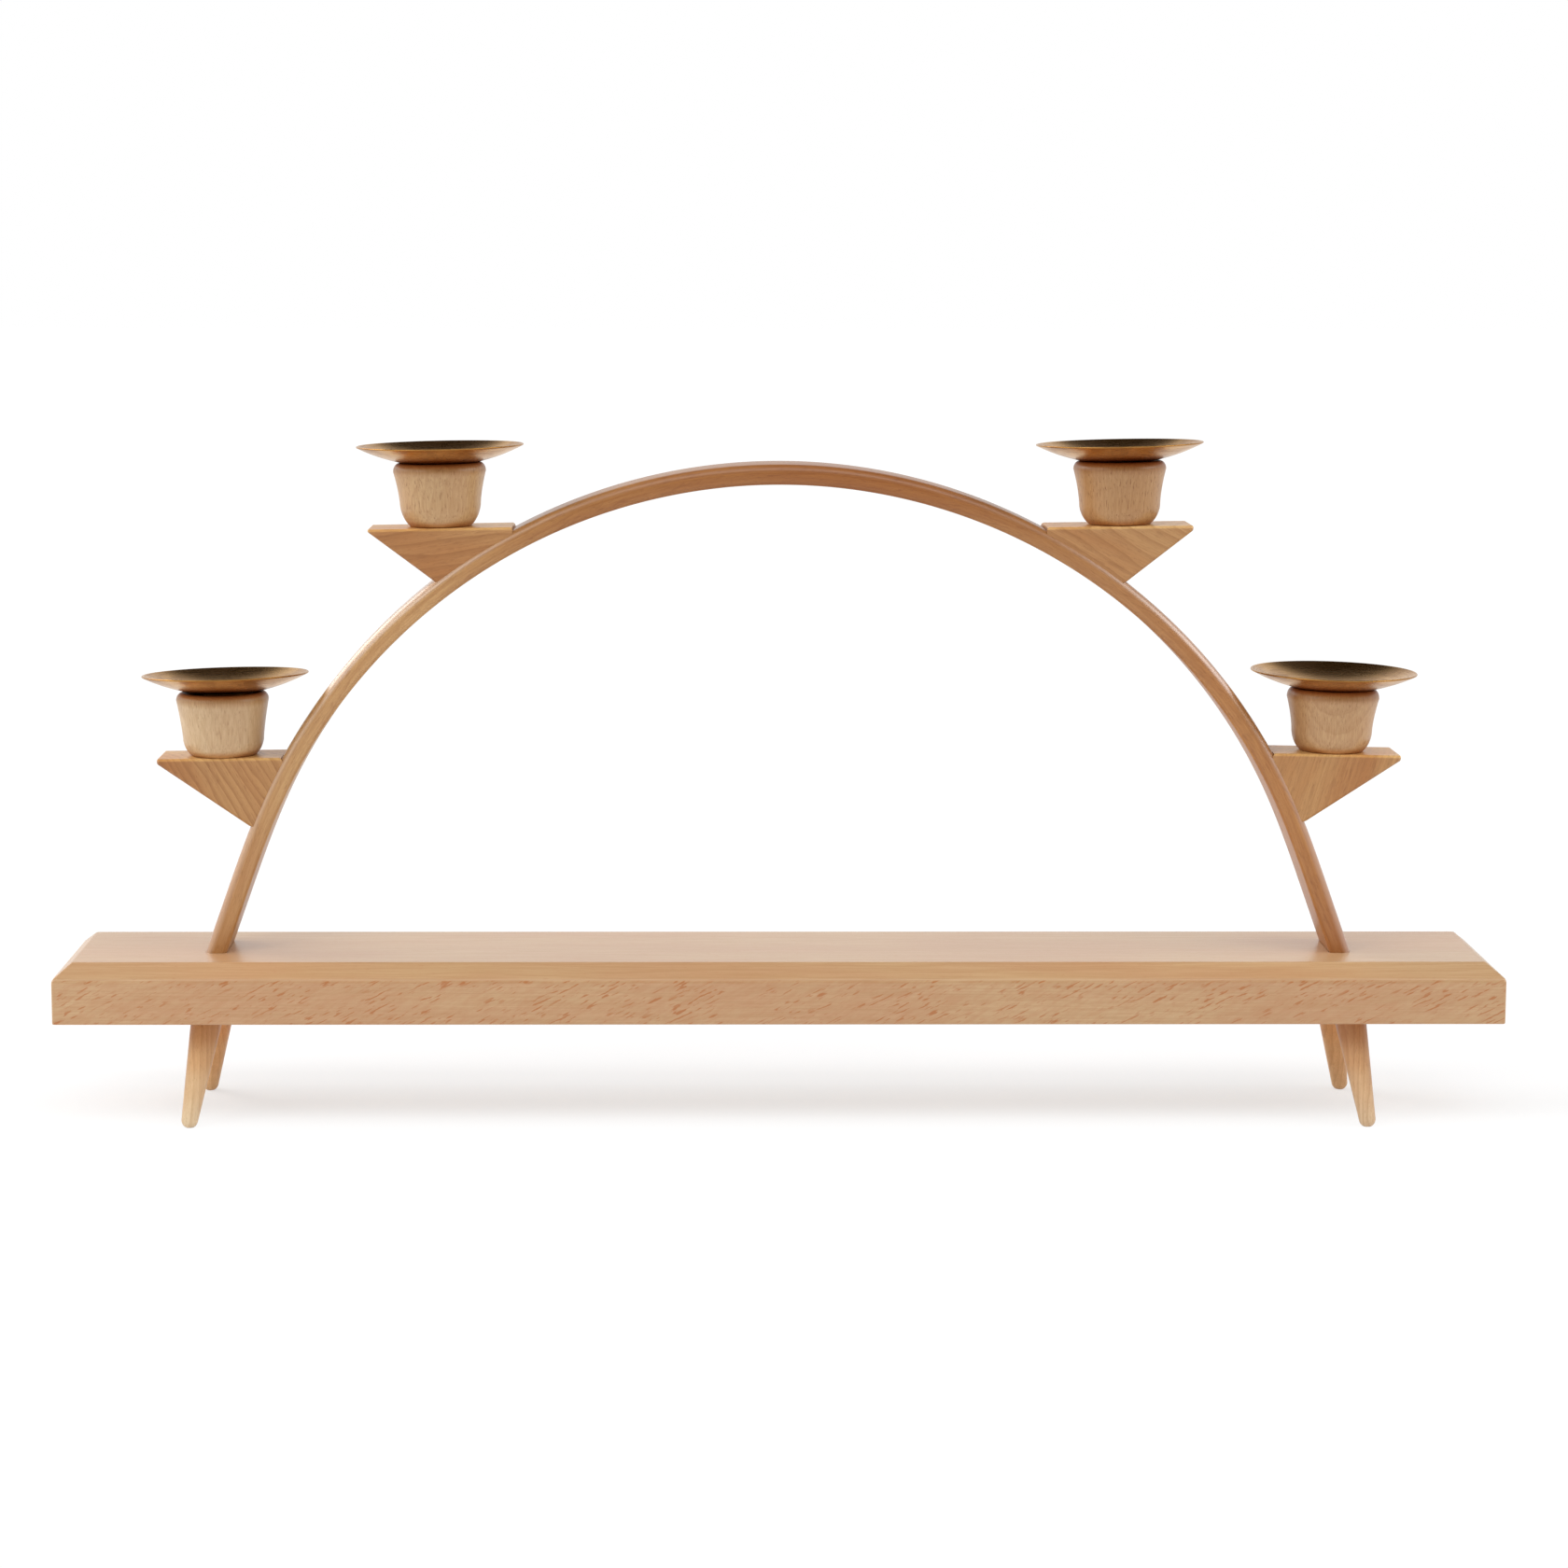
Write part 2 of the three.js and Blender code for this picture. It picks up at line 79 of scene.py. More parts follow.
def round_cornered(half_width, half_height, radius, steps=6):
    """The points of a rectangle with quarter-circle corners, anticlockwise from the right side.
    The half sizes may be arrays, which gives one such rectangle for each of their values."""
    angle = np.arange(4)[:, None] * np.pi / 2 + np.linspace(0, np.pi / 2, steps)[None, :]
    angle = angle.ravel()
    side = np.repeat([[1, 1], [-1, 1], [-1, -1], [1, -1]], steps, axis=0)
    half_width, half_height = np.asarray(half_width), np.asarray(half_height)
    across = side[:, 0] * (half_width[..., None] - radius) + radius * np.cos(angle)
    up = side[:, 1] * (half_height[..., None] - radius) + radius * np.sin(angle)
    return across, up


def skin(name, points, own_place=None, closed_rows=False):
    """A mesh from a grid of points, rows by columns. Each column ring is closed on itself. The
    first and last ring are closed with a face each, or with closed_rows joined to each other.
    own_place keeps, for each point, where it lay on the piece before the piece was put in place."""
    rows, columns = points.shape[:2]
    number = np.arange(rows * columns).reshape(rows, columns)
    if closed_rows:
        number = np.concatenate([number, number[:1]])
    here, beside = number[:-1], np.roll(number[:-1], -1, axis=1)
    above, above_beside = number[1:], np.roll(number[1:], -1, axis=1)
    faces = np.stack([here, beside, above_beside, above], axis=-1).reshape(-1, 4).tolist()
    if not closed_rows:
        faces += [number[0][::-1].tolist(), number[-1].tolist()]
    mesh = bpy.data.meshes.new(name)
    mesh.from_pydata(points.reshape(-1, 3).tolist(), [], faces)
    if own_place is not None:
        kept = mesh.attributes.new("own_place", "FLOAT_VECTOR", "POINT")
        kept.data.foreach_set("vector", own_place.reshape(-1).astype(np.float32))
    mesh.shade_smooth()
    mesh.update()
    piece = bpy.data.objects.new(name, mesh)
    bpy.context.scene.collection.objects.link(piece)
    return piece


def cut_out(piece, cutter):
    """Takes the cutter's solid out of the piece and removes the cutter."""
    cut = piece.modifiers.new("cut", "BOOLEAN")
    cut.operation, cut.solver, cut.object = "DIFFERENCE", "EXACT", cutter
    shaped = piece.evaluated_get(bpy.context.evaluated_depsgraph_get())
    mesh = bpy.data.meshes.new_from_object(shaped)
    piece.modifiers.clear()
    piece.data = mesh
    bpy.data.objects.remove(cutter)


def crisp(piece, sharpest=35):
    """Edges that turn more than `sharpest` degrees stay sharp, and flat faces shade flat."""
    piece.data.set_sharp_from_angle(angle=np.radians(sharpest))
    even = piece.modifiers.new("flat_faces", "WEIGHTED_NORMAL")
    even.keep_sharp = True
    even.weight = 100


def place_node(tree, kind, inputs=None, **settings):
    """Adds a node. An input that is given a socket is joined to it, any other takes the value."""
    node = tree.nodes.new(kind)
    for name, value in settings.items():
        setattr(node, name, value)
    for key, value in (inputs or {}).items():
        if isinstance(value, bpy.types.NodeSocket):
            tree.links.new(value, node.inputs[key])
        else:
            node.inputs[key].default_value = value
    return node


def multiplied(tree, vector, factors):
    """A vector multiplied axis by axis."""
    return place_node(tree, "ShaderNodeVectorMath", {0: vector, 1: factors}, operation="MULTIPLY").outputs[0]


def length_of(tree, vector):
    """The length of a vector."""
    return place_node(tree, "ShaderNodeVectorMath", {0: vector}, operation="LENGTH").outputs["Value"]


def along_axis(tree, vector, axis):
    """One coordinate of a vector."""
    return place_node(tree, "ShaderNodeSeparateXYZ", {0: vector}).outputs[axis]


def work_out(tree, operation, *values, clamp=False):
    """One sum of a Math node."""
    inputs = dict(enumerate(values))
    return place_node(tree, "ShaderNodeMath", inputs, operation=operation, use_clamp=clamp).outputs[0]


def turn_to(tree, value, low, high, from_low=0.0, from_high=1.0, smooth=True):
    """A value brought from one range to another, easing in and out of it or, if not smooth, evenly."""
    kind = "SMOOTHSTEP" if smooth else "LINEAR"
    inputs = {"Value": value, "From Min": from_low, "From Max": from_high, "To Min": low, "To Max": high}
    return place_node(tree, "ShaderNodeMapRange", inputs, interpolation_type=kind).outputs["Result"]


def mix_colours(tree, share, first, second, kind="MIX"):
    """The second colour laid over the first by a share of 0 to 1, or multiplied into it."""
    inputs = {0: share, 6: first, 7: second}
    return place_node(tree, "ShaderNodeMix", inputs, data_type="RGBA", blend_type=kind).outputs[2]


def stretched_noise(tree, place, stretch, detail=2.0, rough=0.5):
    """Noise whose grains are 1/stretch long along each axis, in the unit that the place has."""
    grain = multiplied(tree, place, stretch)
    inputs = {"Vector": grain, "Scale": 1.0, "Detail": detail, "Roughness": rough}
    return place_node(tree, "ShaderNodeTexNoise", inputs).outputs["Fac"]


def new_group(name, inputs, outputs):
    """An empty node group with named sockets, and its input and output nodes."""
    tree = bpy.data.node_groups.new(name, "ShaderNodeTree")
    for label, kind in inputs:
        tree.interface.new_socket(label, in_out="INPUT", socket_type=kind)
    for label, kind in outputs:
        tree.interface.new_socket(label, in_out="OUTPUT", socket_type=kind)
    return tree, tree.nodes.new("NodeGroupInput").outputs, tree.nodes.new("NodeGroupOutput").inputs


def empty_material(name):
    """A material without nodes, and its node tree."""
    material = bpy.data.materials.new(name)
    material.use_nodes = True
    material.node_tree.nodes.clear()
    return material, material.node_tree


def show_surface(tree, shader):
    """Joins a shader to the output of its material."""
    output = place_node(tree, "ShaderNodeOutputMaterial")
    tree.links.new(shader.outputs[0], output.inputs["Surface"])


FLOAT, VECTOR, COLOUR = "NodeSocketFloat", "NodeSocketVector", "NodeSocketColor"


def beech_grain():
    """Beech as a solid, its grain along X. Growth rings are shells about a pith line, bent by
    slow noise. Streaks, pores and rays are noise drawn out along the grain, or tilted to it."""
    tree, given, result = new_group(
        "beech_grain",
        [("Place", VECTOR), ("Pith", VECTOR), ("Run Out", FLOAT), ("Ring Width", FLOAT),
         ("Rings", FLOAT), ("Streaks", FLOAT), ("Pores", FLOAT), ("Flecks", FLOAT),
         ("Fleck Tilt", FLOAT), ("Drift", FLOAT), ("Pore Fineness", FLOAT),
         ("Light", COLOUR), ("Dark", COLOUR), ("Blush", COLOUR), ("Fleck", COLOUR), ("Tint", COLOUR)],
        [("Color", COLOUR), ("Roughness", FLOAT), ("Height", FLOAT)],
    )
    millimetres = multiplied(tree, given["Place"], (1000, 1000, 1000))

    # Growth rings
    slow = stretched_noise(tree, millimetres, (0.018, 0.07, 0.07), 2.0)
    bend = turn_to(tree, slow, -4.5, 4.5, smooth=False)
    wobble = turn_to(tree, stretched_noise(tree, millimetres, (0.06, 0.5, 0.5), 1.0), -0.5, 0.5, smooth=False)
    from_pith = place_node(
        tree, "ShaderNodeVectorMath", {0: millimetres, 1: given["Pith"]}, operation="SUBTRACT"
    ).outputs[0]
    flat = multiplied(tree, from_pith, (0, 1, 1))
    radius = length_of(tree, flat)
    along = along_axis(tree, millimetres, "X")
    radius = work_out(tree, "MULTIPLY_ADD", along, given["Run Out"], radius)
    radius = work_out(tree, "ADD", work_out(tree, "ADD", radius, bend), wobble)
    phase = work_out(tree, "FRACT", work_out(tree, "DIVIDE", radius, given["Ring Width"]))
    rising = work_out(tree, "POWER", phase, 2.2)
    falling = turn_to(tree, phase, 1.0, 0.0, 0.9, 1.0)
    late_wood = work_out(tree, "MULTIPLY", rising, falling)

    # Fine streaks along the grain, and pores as short dark hairlines
    streak = turn_to(tree, stretched_noise(tree, millimetres, (0.05, 2.4, 2.4), 3.0, 0.6), -1, 1, 0.25, 0.75)
    pore_place = place_node(
        tree, "ShaderNodeVectorMath", {0: millimetres, "Scale": given["Pore Fineness"]}, operation="SCALE"
    ).outputs[0]
    pore = turn_to(tree, stretched_noise(tree, pore_place, (0.55, 6.5, 6.5), 1.0), 0, 1, 0.60, 0.74)

    # Ray flecks: short dashes that gather in slanting chains, over a faint mottle the same way
    tilt = {"Vector": millimetres, "Angle": given["Fleck Tilt"]}
    tilted = place_node(tree, "ShaderNodeVectorRotate", tilt, rotation_type="Y_AXIS").outputs[0]
    fleck = turn_to(tree, stretched_noise(tree, tilted, (0.24, 0.9, 1.5), 2.0, 0.5), 0, 1, 0.54, 0.64)
    chain = turn_to(tree, stretched_noise(tree, tilted, (0.07, 0.2, 0.22), 2.0), 0.12, 1.0, 0.40, 0.56)
    fleck = work_out(tree, "MULTIPLY", fleck, chain)
    mottle = turn_to(tree, stretched_noise(tree, tilted, (0.16, 0.8, 0.8), 3.0, 0.65), 0, 0.26, 0.38, 0.66)
    fleck = work_out(tree, "MAXIMUM", fleck, mottle)

    # Colour: slow drift between two tones, then rings, streaks, flecks and pores over it
    tone = turn_to(tree, stretched_noise(tree, millimetres, (0.012, 0.05, 0.05), 3.0, 0.55), 0, 1, 0.35, 0.65)
    body = mix_colours(tree, work_out(tree, "MULTIPLY", tone, given["Drift"]), given["Light"], given["Blush"])
    body = mix_colours(tree, work_out(tree, "MULTIPLY", late_wood, given["Rings"]), body, given["Dark"])
    strand = work_out(tree, "MULTIPLY", turn_to(tree, streak, 0, 1, -1, 1, False), given["Streaks"])
    body = mix_colours(tree, strand, body, given["Dark"])
    body = mix_colours(tree, work_out(tree, "MULTIPLY", fleck, given["Flecks"]), body, given["Fleck"])
    pore_depth = work_out(tree, "MULTIPLY", pore, given["Pores"])
    body = mix_colours(tree, pore_depth, body, given["Fleck"])
    tree.links.new(mix_colours(tree, 1.0, body, given["Tint"], "MULTIPLY"), result["Color"])

    # Pores and late wood take less lacquer, so they stand a little deeper and duller
    tree.links.new(turn_to(tree, pore_depth, 0.36, 0.6, smooth=False), result["Roughness"])
    height = work_out(tree, "MULTIPLY_ADD", streak, 0.15, work_out(tree, "MULTIPLY", pore_depth, -0.8))
    height = work_out(tree, "MULTIPLY_ADD", late_wood, -0.12, height)
    tree.links.new(height, result["Height"])
    return tree


beech_group = beech_grain()


def beech(name, tones, pith=(0, 0, 0), run_out=0.0, ring_width=2.2, rings=0.5, streaks=0.35, pores=0.3,
          flecks=0.0, fleck_tilt=0.0, drift=0.6, turn=(0, 0, 0), shift=(0, 0, 0), own_place=False, coat=0.35,
          tint=(1, 1, 1), tint_axis="X", tint_marks=(), own_tint_place=False, pore_fineness=1.0,
          grazing_shine=None, relief=0.5, flecks_on_sides=False):
    """Lacquered beech. Its grain runs along X of the place it reads, turned by `turn` degrees: the
    object's own place, or with own_place the place kept on the mesh. The colour is multiplied by
    `tint`, or by tints that change between marks along `tint_axis`, which own_tint_place reads from
    the kept place alone. flecks_on_sides leaves the ray flecks to faces that look to the front or
    the back. `relief` is how strongly pores and rings stand out. With `grazing_shine`, the specular
    level falls to it where the surface is seen edge on."""
    material, tree = empty_material(name)
    if own_place:
        place = place_node(tree, "ShaderNodeAttribute", attribute_name="own_place").outputs["Vector"]
    else:
        place = place_node(tree, "ShaderNodeTexCoord").outputs["Object"]
    turned = place_node(
        tree, "ShaderNodeMapping",
        {"Vector": place, "Rotation": np.radians(turn).tolist(), "Location": shift},
    ).outputs[0]
    light, dark, blush, fleck = [colour(*tone) for tone in tones]
    grain = place_node(tree, "ShaderNodeGroup", node_tree=beech_group)
    values = {
        "Pith": pith, "Run Out": run_out, "Ring Width": ring_width, "Rings": rings, "Streaks": streaks,
        "Pores": pores, "Flecks": flecks, "Fleck Tilt": np.radians(fleck_tilt), "Drift": drift,
        "Pore Fineness": pore_fineness, "Light": light, "Dark": dark, "Blush": blush, "Fleck": fleck,
        "Tint": (*tint, 1),
    }
    for label, value in values.items():
        grain.inputs[label].default_value = value
    tree.links.new(turned, grain.inputs["Place"])
    if tint_marks:
        first, last = tint_marks[0][0], tint_marks[-1][0]
        if own_tint_place:
            place = place_node(tree, "ShaderNodeAttribute", attribute_name="own_place").outputs["Vector"]
        where = along_axis(tree, place, tint_axis)
        ramp = place_node(tree, "ShaderNodeValToRGB", {0: turn_to(tree, where, 0, 1, first, last, False)})
        ramp.color_ramp.interpolation = "EASE"
        marks = ramp.color_ramp.elements
        for number, (mark, marked_tint) in enumerate(tint_marks):
            share = (mark - first) / (last - first)
            element = marks[number] if number in (0, 1) else marks.new(share)
            element.position, element.color = share, (*marked_tint, 1)
        tree.links.new(ramp.outputs["Color"], grain.inputs["Tint"])
    if flecks_on_sides:
        normal = place_node(tree, "ShaderNodeNewGeometry").outputs["Normal"]
        toward_side = work_out(tree, "ABSOLUTE", along_axis(tree, normal, "Y"))
        tree.links.new(turn_to(tree, toward_side, 0, flecks, 0.80, 0.97), grain.inputs["Flecks"])
    bump = place_node(
        tree, "ShaderNodeBump", {"Height": grain.outputs["Height"], "Strength": relief, "Distance": 0.00006}
    )
    shine = 0.5
    if grazing_shine is not None:
        facing = place_node(tree, "ShaderNodeLayerWeight", {"Blend": 0.5}).outputs["Facing"]
        shine = turn_to(tree, facing, shine, grazing_shine, 0.55, 0.95)
    surface = place_node(tree, "ShaderNodeBsdfPrincipled", {
        "Base Color": grain.outputs["Color"], "Roughness": grain.outputs["Roughness"],
        "Normal": bump.outputs["Normal"], "Coat Weight": coat, "Coat Roughness": 0.22, "IOR": 1.5,
        "Specular IOR Level": shine,
    })
    show_surface(tree, surface)
    return material


def board_surface():
    """Rings one above the other. A ring is a rectangle with small round corners. Its inset from
    the end and from the side, and its height, follow the planed profile with eased corners."""
    profile = eased([
        (flat_margin, flat_margin, board_bottom),
        (0, 0, board_bottom),
        (0, 0, board_top - chamfer_height),
        (chamfer_along_end, chamfer_along_side, board_top),
        (chamfer_along_end + flat_margin, chamfer_along_side + flat_margin, board_top),
    ], [board_arris, chamfer_ease, board_arris])
    end_inset, side_inset, height = profile.T
    along, across = round_cornered(board_length / 2 - end_inset, board_depth / 2 - side_inset, board_corner)
    return np.stack([along, across, np.broadcast_to(height[:, None], along.shape)], axis=-1)


base_board = skin("base_board_planed", board_surface())
base_board.data.materials.append(beech(
    "beech_board_lacquered", board_tones,
    pith=(0, 70, 95), ring_width=2.6, rings=0.30, streaks=0.55, pores=0.25,
    flecks=0.90, fleck_tilt=26, drift=0.9, flecks_on_sides=True, tint=(0.93, 0.945, 0.95),
))
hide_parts("base_board")
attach(base_board, "arch_frame")


# Bow
# One strip of beech with rounded edges, steamed and bent over a form: a round crown that eases
# into straight feet. Each foot is glued into a slanting mortise in the board.

bow_thickness, bow_depth, bow_round, bow_inner_round = 0.0056, 0.0205, 0.0026, 0.0013
crown_top, crown_radius, crown_half_length = 0.1799, 0.1549, 0.1735
bow_ease_length, bow_foot_depth, mortise_room, mortise_above = 0.0327, 0.012, 0.00008, 0.02
bow_corner_steps, bow_rows, mortise_rows = 9, 321, 40
strip_reach, strip_steps = 0.26, 5201
bow_tones = ((200, 150, 95), (160, 102, 54), (186, 130, 82), (132, 76, 38))

# The thick coat that ran to the outer edges: how far outside the strip's middle it sets in, how
# far from the crown's top it grows to its full weight, and its share of that weight on the crown
coat_sets_in, coat_grows, coat_on_crown = (0.0004, 0.0016), (0.05, 0.11), 0.30
coat_dullness, coat_refraction = 0.36, 1.9

# How the wood's tone changes along the bow: darker round the crown, paler on the left limb, which is partly a
# painted highlight, and darker on the right limb, which is painted shade. The station from the crown's top,
# and the tint there
bow_tone_and_painted_light = [
    (-0.24, (0.92, 0.90, 0.78)),
    (-0.17, (1.02, 1.18, 1.32)),
    (-0.12, (0.98, 1.09, 1.20)),
    (-0.05, (0.72, 0.62, 0.46)),
    (0.03, (0.66, 0.50, 0.30)),
    (0.10, (0.86, 0.86, 0.82)),
    (0.15, (0.86, 0.76, 0.64)),
    (0.24, (0.84, 0.72, 0.56)),
]


def bow_turn(station):
    """How far the bow has turned from level at a distance along it from the crown's top: evenly
    round the crown, less and less along the ease, and not at all in the feet."""
    distance = np.abs(station)
    ease = np.clip(distance - crown_half_length, 0, bow_ease_length)
    round_length = np.minimum(distance, crown_half_length) + ease - ease**2 / (2 * bow_ease_length)
    return np.sign(station) * round_length / crown_radius


fine_station = np.linspace(-strip_reach, strip_reach, strip_steps)
fine_step = fine_station[1] - fine_station[0]
fine_turn = bow_turn((fine_station[1:] + fine_station[:-1]) / 2)
fine_x = np.concatenate([[0], np.cumsum(np.cos(fine_turn))]) * fine_step
fine_z = np.concatenate([[0], np.cumsum(-np.sin(fine_turn))]) * fine_step
fine_x -= np.interp(0, fine_station, fine_x)
fine_z += crown_top - np.interp(0, fine_station, fine_z)


def bow_point(station, outside=0.0):
    """Along and height of a point `outside` the centreline. The centreline is the running sum of
    short steps, each in the direction that the turn gives, started from the crown's top."""
    turn = bow_turn(station)
    along = np.interp(station, fine_station, fine_x) + outside * np.sin(turn)
    return along, np.interp(station, fine_station, fine_z) + outside * np.cos(turn)


def station_at_height(height, outside=0.0):
    """The station on the right side where a line outside the centreline comes to a height."""
    right = fine_station[fine_station > 0]
    return np.interp(-height, -bow_point(right, outside)[1], right)


foot_station = station_at_height(board_top)
foot_along = bow_point(foot_station)[0]
bow_half_length = foot_station + bow_foot_depth / np.sin(bow_turn(foot_station))


def bow_surface(start, end, rows, margin=0.0):
    """The section, rounder at its outer edges and `margin` larger all round, carried along the
    centreline. Also gives the same points on the straight strip, as it was before it was bent."""
    station = np.linspace(start, end, rows)[:, None]
    rounds = np.repeat([bow_round, bow_round, bow_inner_round, bow_inner_round], bow_corner_steps)
    across, out = round_cornered(
        bow_depth / 2 + margin, bow_thickness / 2 + margin, rounds + margin, bow_corner_steps,
    )
    along, height = bow_point(station, out[None, :])
    points = np.stack([along, np.broadcast_to(across, along.shape), height], axis=-1)
    strip = np.stack(np.broadcast_arrays(station, across[None, :], out[None, :]), axis=-1)
    return points, strip


def thicken_coat(material):
    """The coat's weight is the share by which the strip's place lies outside, times the share by
    which it lies away from the crown."""
    tree = material.node_tree
    strip = place_node(tree, "ShaderNodeAttribute", attribute_name="own_place").outputs["Vector"]
    from_top = work_out(tree, "ABSOLUTE", along_axis(tree, strip, "X"))
    away = turn_to(tree, from_top, coat_on_crown, 1, *coat_grows)
    outside = turn_to(tree, along_axis(tree, strip, "Z"), 0, 1, *coat_sets_in)
    surface = tree.nodes["Principled BSDF"].inputs
    tree.links.new(work_out(tree, "MULTIPLY", outside, away), surface["Coat Weight"])
    surface["Coat Roughness"].default_value = coat_dullness
    surface["Coat IOR"].default_value = coat_refraction


bow = skin("bow_bent", *bow_surface(-bow_half_length, bow_half_length, bow_rows))
bow.data.materials.append(beech(
    "beech_bow_lacquered", bow_tones,
    pith=(0, 25, 60), run_out=0.02, ring_width=1.9, rings=0.35, streaks=0.45, pores=0.4,
    flecks=0.25, fleck_tilt=12, drift=0.7, own_place=True, coat=0.0, tint_marks=bow_tone_and_painted_light,
    grazing_shine=0.2, relief=0.15,
))
thicken_coat(bow.data.materials[0])
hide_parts("bow")
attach(bow, "arch_frame")

bow_end = bow_half_length + mortise_room
mortise_start = foot_station - mortise_above
for side_name, start, stop in (("left", -bow_end, -mortise_start), ("right", mortise_start, bow_end)):
    cut_out(base_board, skin(f"mortise_{side_name}", bow_surface(start, stop, mortise_rows, mortise_room)[0]))


# Legs
# Four turned pegs of beech, thick at the board and rounded at the tip, glued into bores that
# slant outwards. The tips are worn flat where they stand.

leg_root_radius, leg_tip_radius, leg_tip_wear = 0.0044, 0.0023, 0.0003
leg_beyond_foot, leg_beside_bow = 0.0016, 0.0082
leg_spread_along, leg_spread_across = 0.005, 0.0057
leg_tenon_length, leg_tenon_ease, bore_room, bore_below = 0.0085, 0.0008, 0.00008, 0.006
leg_columns = 48
leg_tones = ((226, 184, 132), (186, 130, 78), (210, 160, 110), (150, 94, 50))

# Painted light and shade: paler at the tips, a painted light thrown up from the table, and darker up by the
# board, a painted shadow of the board. The height above the table, and the tint there
leg_painted_light_and_shade = [(0.0, (1.08, 1.36, 1.72)), (0.012, (1.04, 1.14, 1.24)), (0.019, (0.96, 0.90, 0.82)),
             (0.026, (0.74, 0.56, 0.38)), (0.030, (0.66, 0.46, 0.28))]

# Each leg's own tint, which its tints are multiplied by
leg_own_tint = {
    "front_left": (1.03, 1.07, 1.16), "front_right": (0.93, 0.88, 0.91),
    "back_left": (1.16, 1.00, 0.86), "back_right": (1.10, 0.94, 0.80),
}


def turned_surface(profile, columns, centre=(0, 0, 0), axis=(0, 0, 1)):
    """A profile of (radius, height) pairs spun about an axis through the centre. Each ring has
    `columns` points. Also gives the same points with the height along X, as on the lathe."""
    radius, height = np.asarray(profile, float).T
    axis = np.asarray(axis, float) / np.linalg.norm(axis)
    first = np.cross([0, 1, 0], axis)
    first /= np.linalg.norm(first)
    second = np.cross(axis, first)
    angle = np.linspace(0, 2 * np.pi, columns, endpoint=False)
    right, back = radius[:, None] * np.cos(angle), radius[:, None] * np.sin(angle)
    up = np.broadcast_to(height[:, None], right.shape)
    around = right[..., None] * first + back[..., None] * second
    points = np.asarray(centre) + around + up[..., None] * axis
    return points, np.stack([up, right, back], axis=-1)


def arc(centre_radius, centre_height, radius, start, end, steps):
    """Points of a circle between two angles in degrees, as (radius, height) pairs."""
    angle = np.radians(np.linspace(start, end, steps))
    return np.stack([centre_radius + radius * np.cos(angle), centre_height + radius * np.sin(angle)], axis=-1)


def tinted(marks, own_tint):
    """The tints at their marks, each multiplied by a piece's own tint."""
    return [(mark, tuple(np.multiply(own_tint, tint))) for mark, tint in marks]


leg_tip_centre = leg_tip_radius - leg_tip_wear
leg_drop = board_bottom - leg_tip_centre
leg_share = leg_drop / board_bottom
leg_length = np.hypot(np.hypot(leg_spread_along, leg_spread_across) * leg_share, leg_drop)
bore_radius, bore_start = leg_root_radius + bore_room, leg_length - bore_below

for side_name, side in (("left", -1), ("right", 1)):
    for row_name, back in (("front", -1), ("back", 1)):
        root = np.array([
            side * (foot_along + leg_beyond_foot), back * (bow_depth / 2 + leg_beside_bow), board_bottom,
        ])
        axis = np.array([-side * leg_spread_along, -back * leg_spread_across, board_bottom])
        axis /= np.linalg.norm(axis)
        tip = root - axis * leg_length
        tenon = leg_length + leg_tenon_length
        peg = np.concatenate([
            arc(0, 0, leg_tip_radius, -89, -4, 12),
            [(leg_tip_radius + (leg_root_radius - leg_tip_radius) * share, leg_length * share)
             for share in (0.02, 0.25, 0.5, 0.75, 1)],
            [(leg_root_radius, tenon - leg_tenon_ease), (leg_root_radius - leg_tenon_ease, tenon)],
        ])
        points = turned_surface(peg, leg_columns, tip, axis)[0]
        points[..., 2] = np.maximum(points[..., 2], 0)
        leg = skin(f"leg_{row_name}_{side_name}_turned", points)
        own_tint = leg_own_tint[f"{row_name}_{side_name}"]
        leg.data.materials.append(beech(
            f"beech_leg_{row_name}_{side_name}", leg_tones, pith=(0, 8.5 + 1.5 * side, -6.5 + 2.5 * back),
            run_out=0.06, ring_width=1.7, rings=0.5, streaks=0.35, pores=0.35, drift=0.5, turn=(0, 90, 0),
            tint_axis="Z", tint_marks=tinted(leg_painted_light_and_shade, own_tint), coat=0.0, grazing_shine=0.2,
        ))
        crisp(leg)
        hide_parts(f"leg_{row_name}_{side_name}")
        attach(leg, "arch_frame")
        bore = [(bore_radius, bore_start), (bore_radius, tenon + bore_room)]
        cut_out(base_board, skin("leg_bore", turned_surface(bore, leg_columns, tip, axis)[0]))

crisp(base_board)


# Brackets
# Four beech wedges, flat on top and hollowed on one side to the bow, glued to its outside. Each
# was sawn from the plank in another direction, so the rings cross its face at another slant.

bracket_depth, bracket_arris, bracket_toe, bracket_thin_end = 0.019, 0.0006, 0.0003, 0.0009
bracket_skin, glue_bite, bracket_nose_ease, bracket_heel_ease = 0.0031, 0.00004, 0.0005, 0.0002
least_nose, lower_edge_start, thin_edge, grain_apart = 0.0003, 0.0003, 0.0002, 0.05
bracket_tones = ((190, 143, 90), (144, 92, 47), (172, 114, 62), (124, 74, 38))

# The station of the thin end along the bow, the length, the height, the height of the nose, and
# the lean in degrees with the right side up
bracket_fits = {
    "upper_left": (0.0758, 0.0394, 0.0141, 0.0007, 1.04),
    "upper_right": (0.0755, 0.0400, 0.0150, 0.0013, 0.72),
    "lower_left": (0.1663, 0.0339, 0.0190, 0.0014, 0.68),
    "lower_right": (0.1648, 0.0349, 0.0189, 0.0014, -1.03),
}

# How far out along the bracket's top each cup stands
cup_along = {"upper_left": 0.0197, "upper_right": 0.0205, "lower_left": 0.01625, "lower_right": 0.01665}


def side_of(where):
    """-1 on the left half of the arch and 1 on the right."""
    return -1 if where.endswith("left") else 1


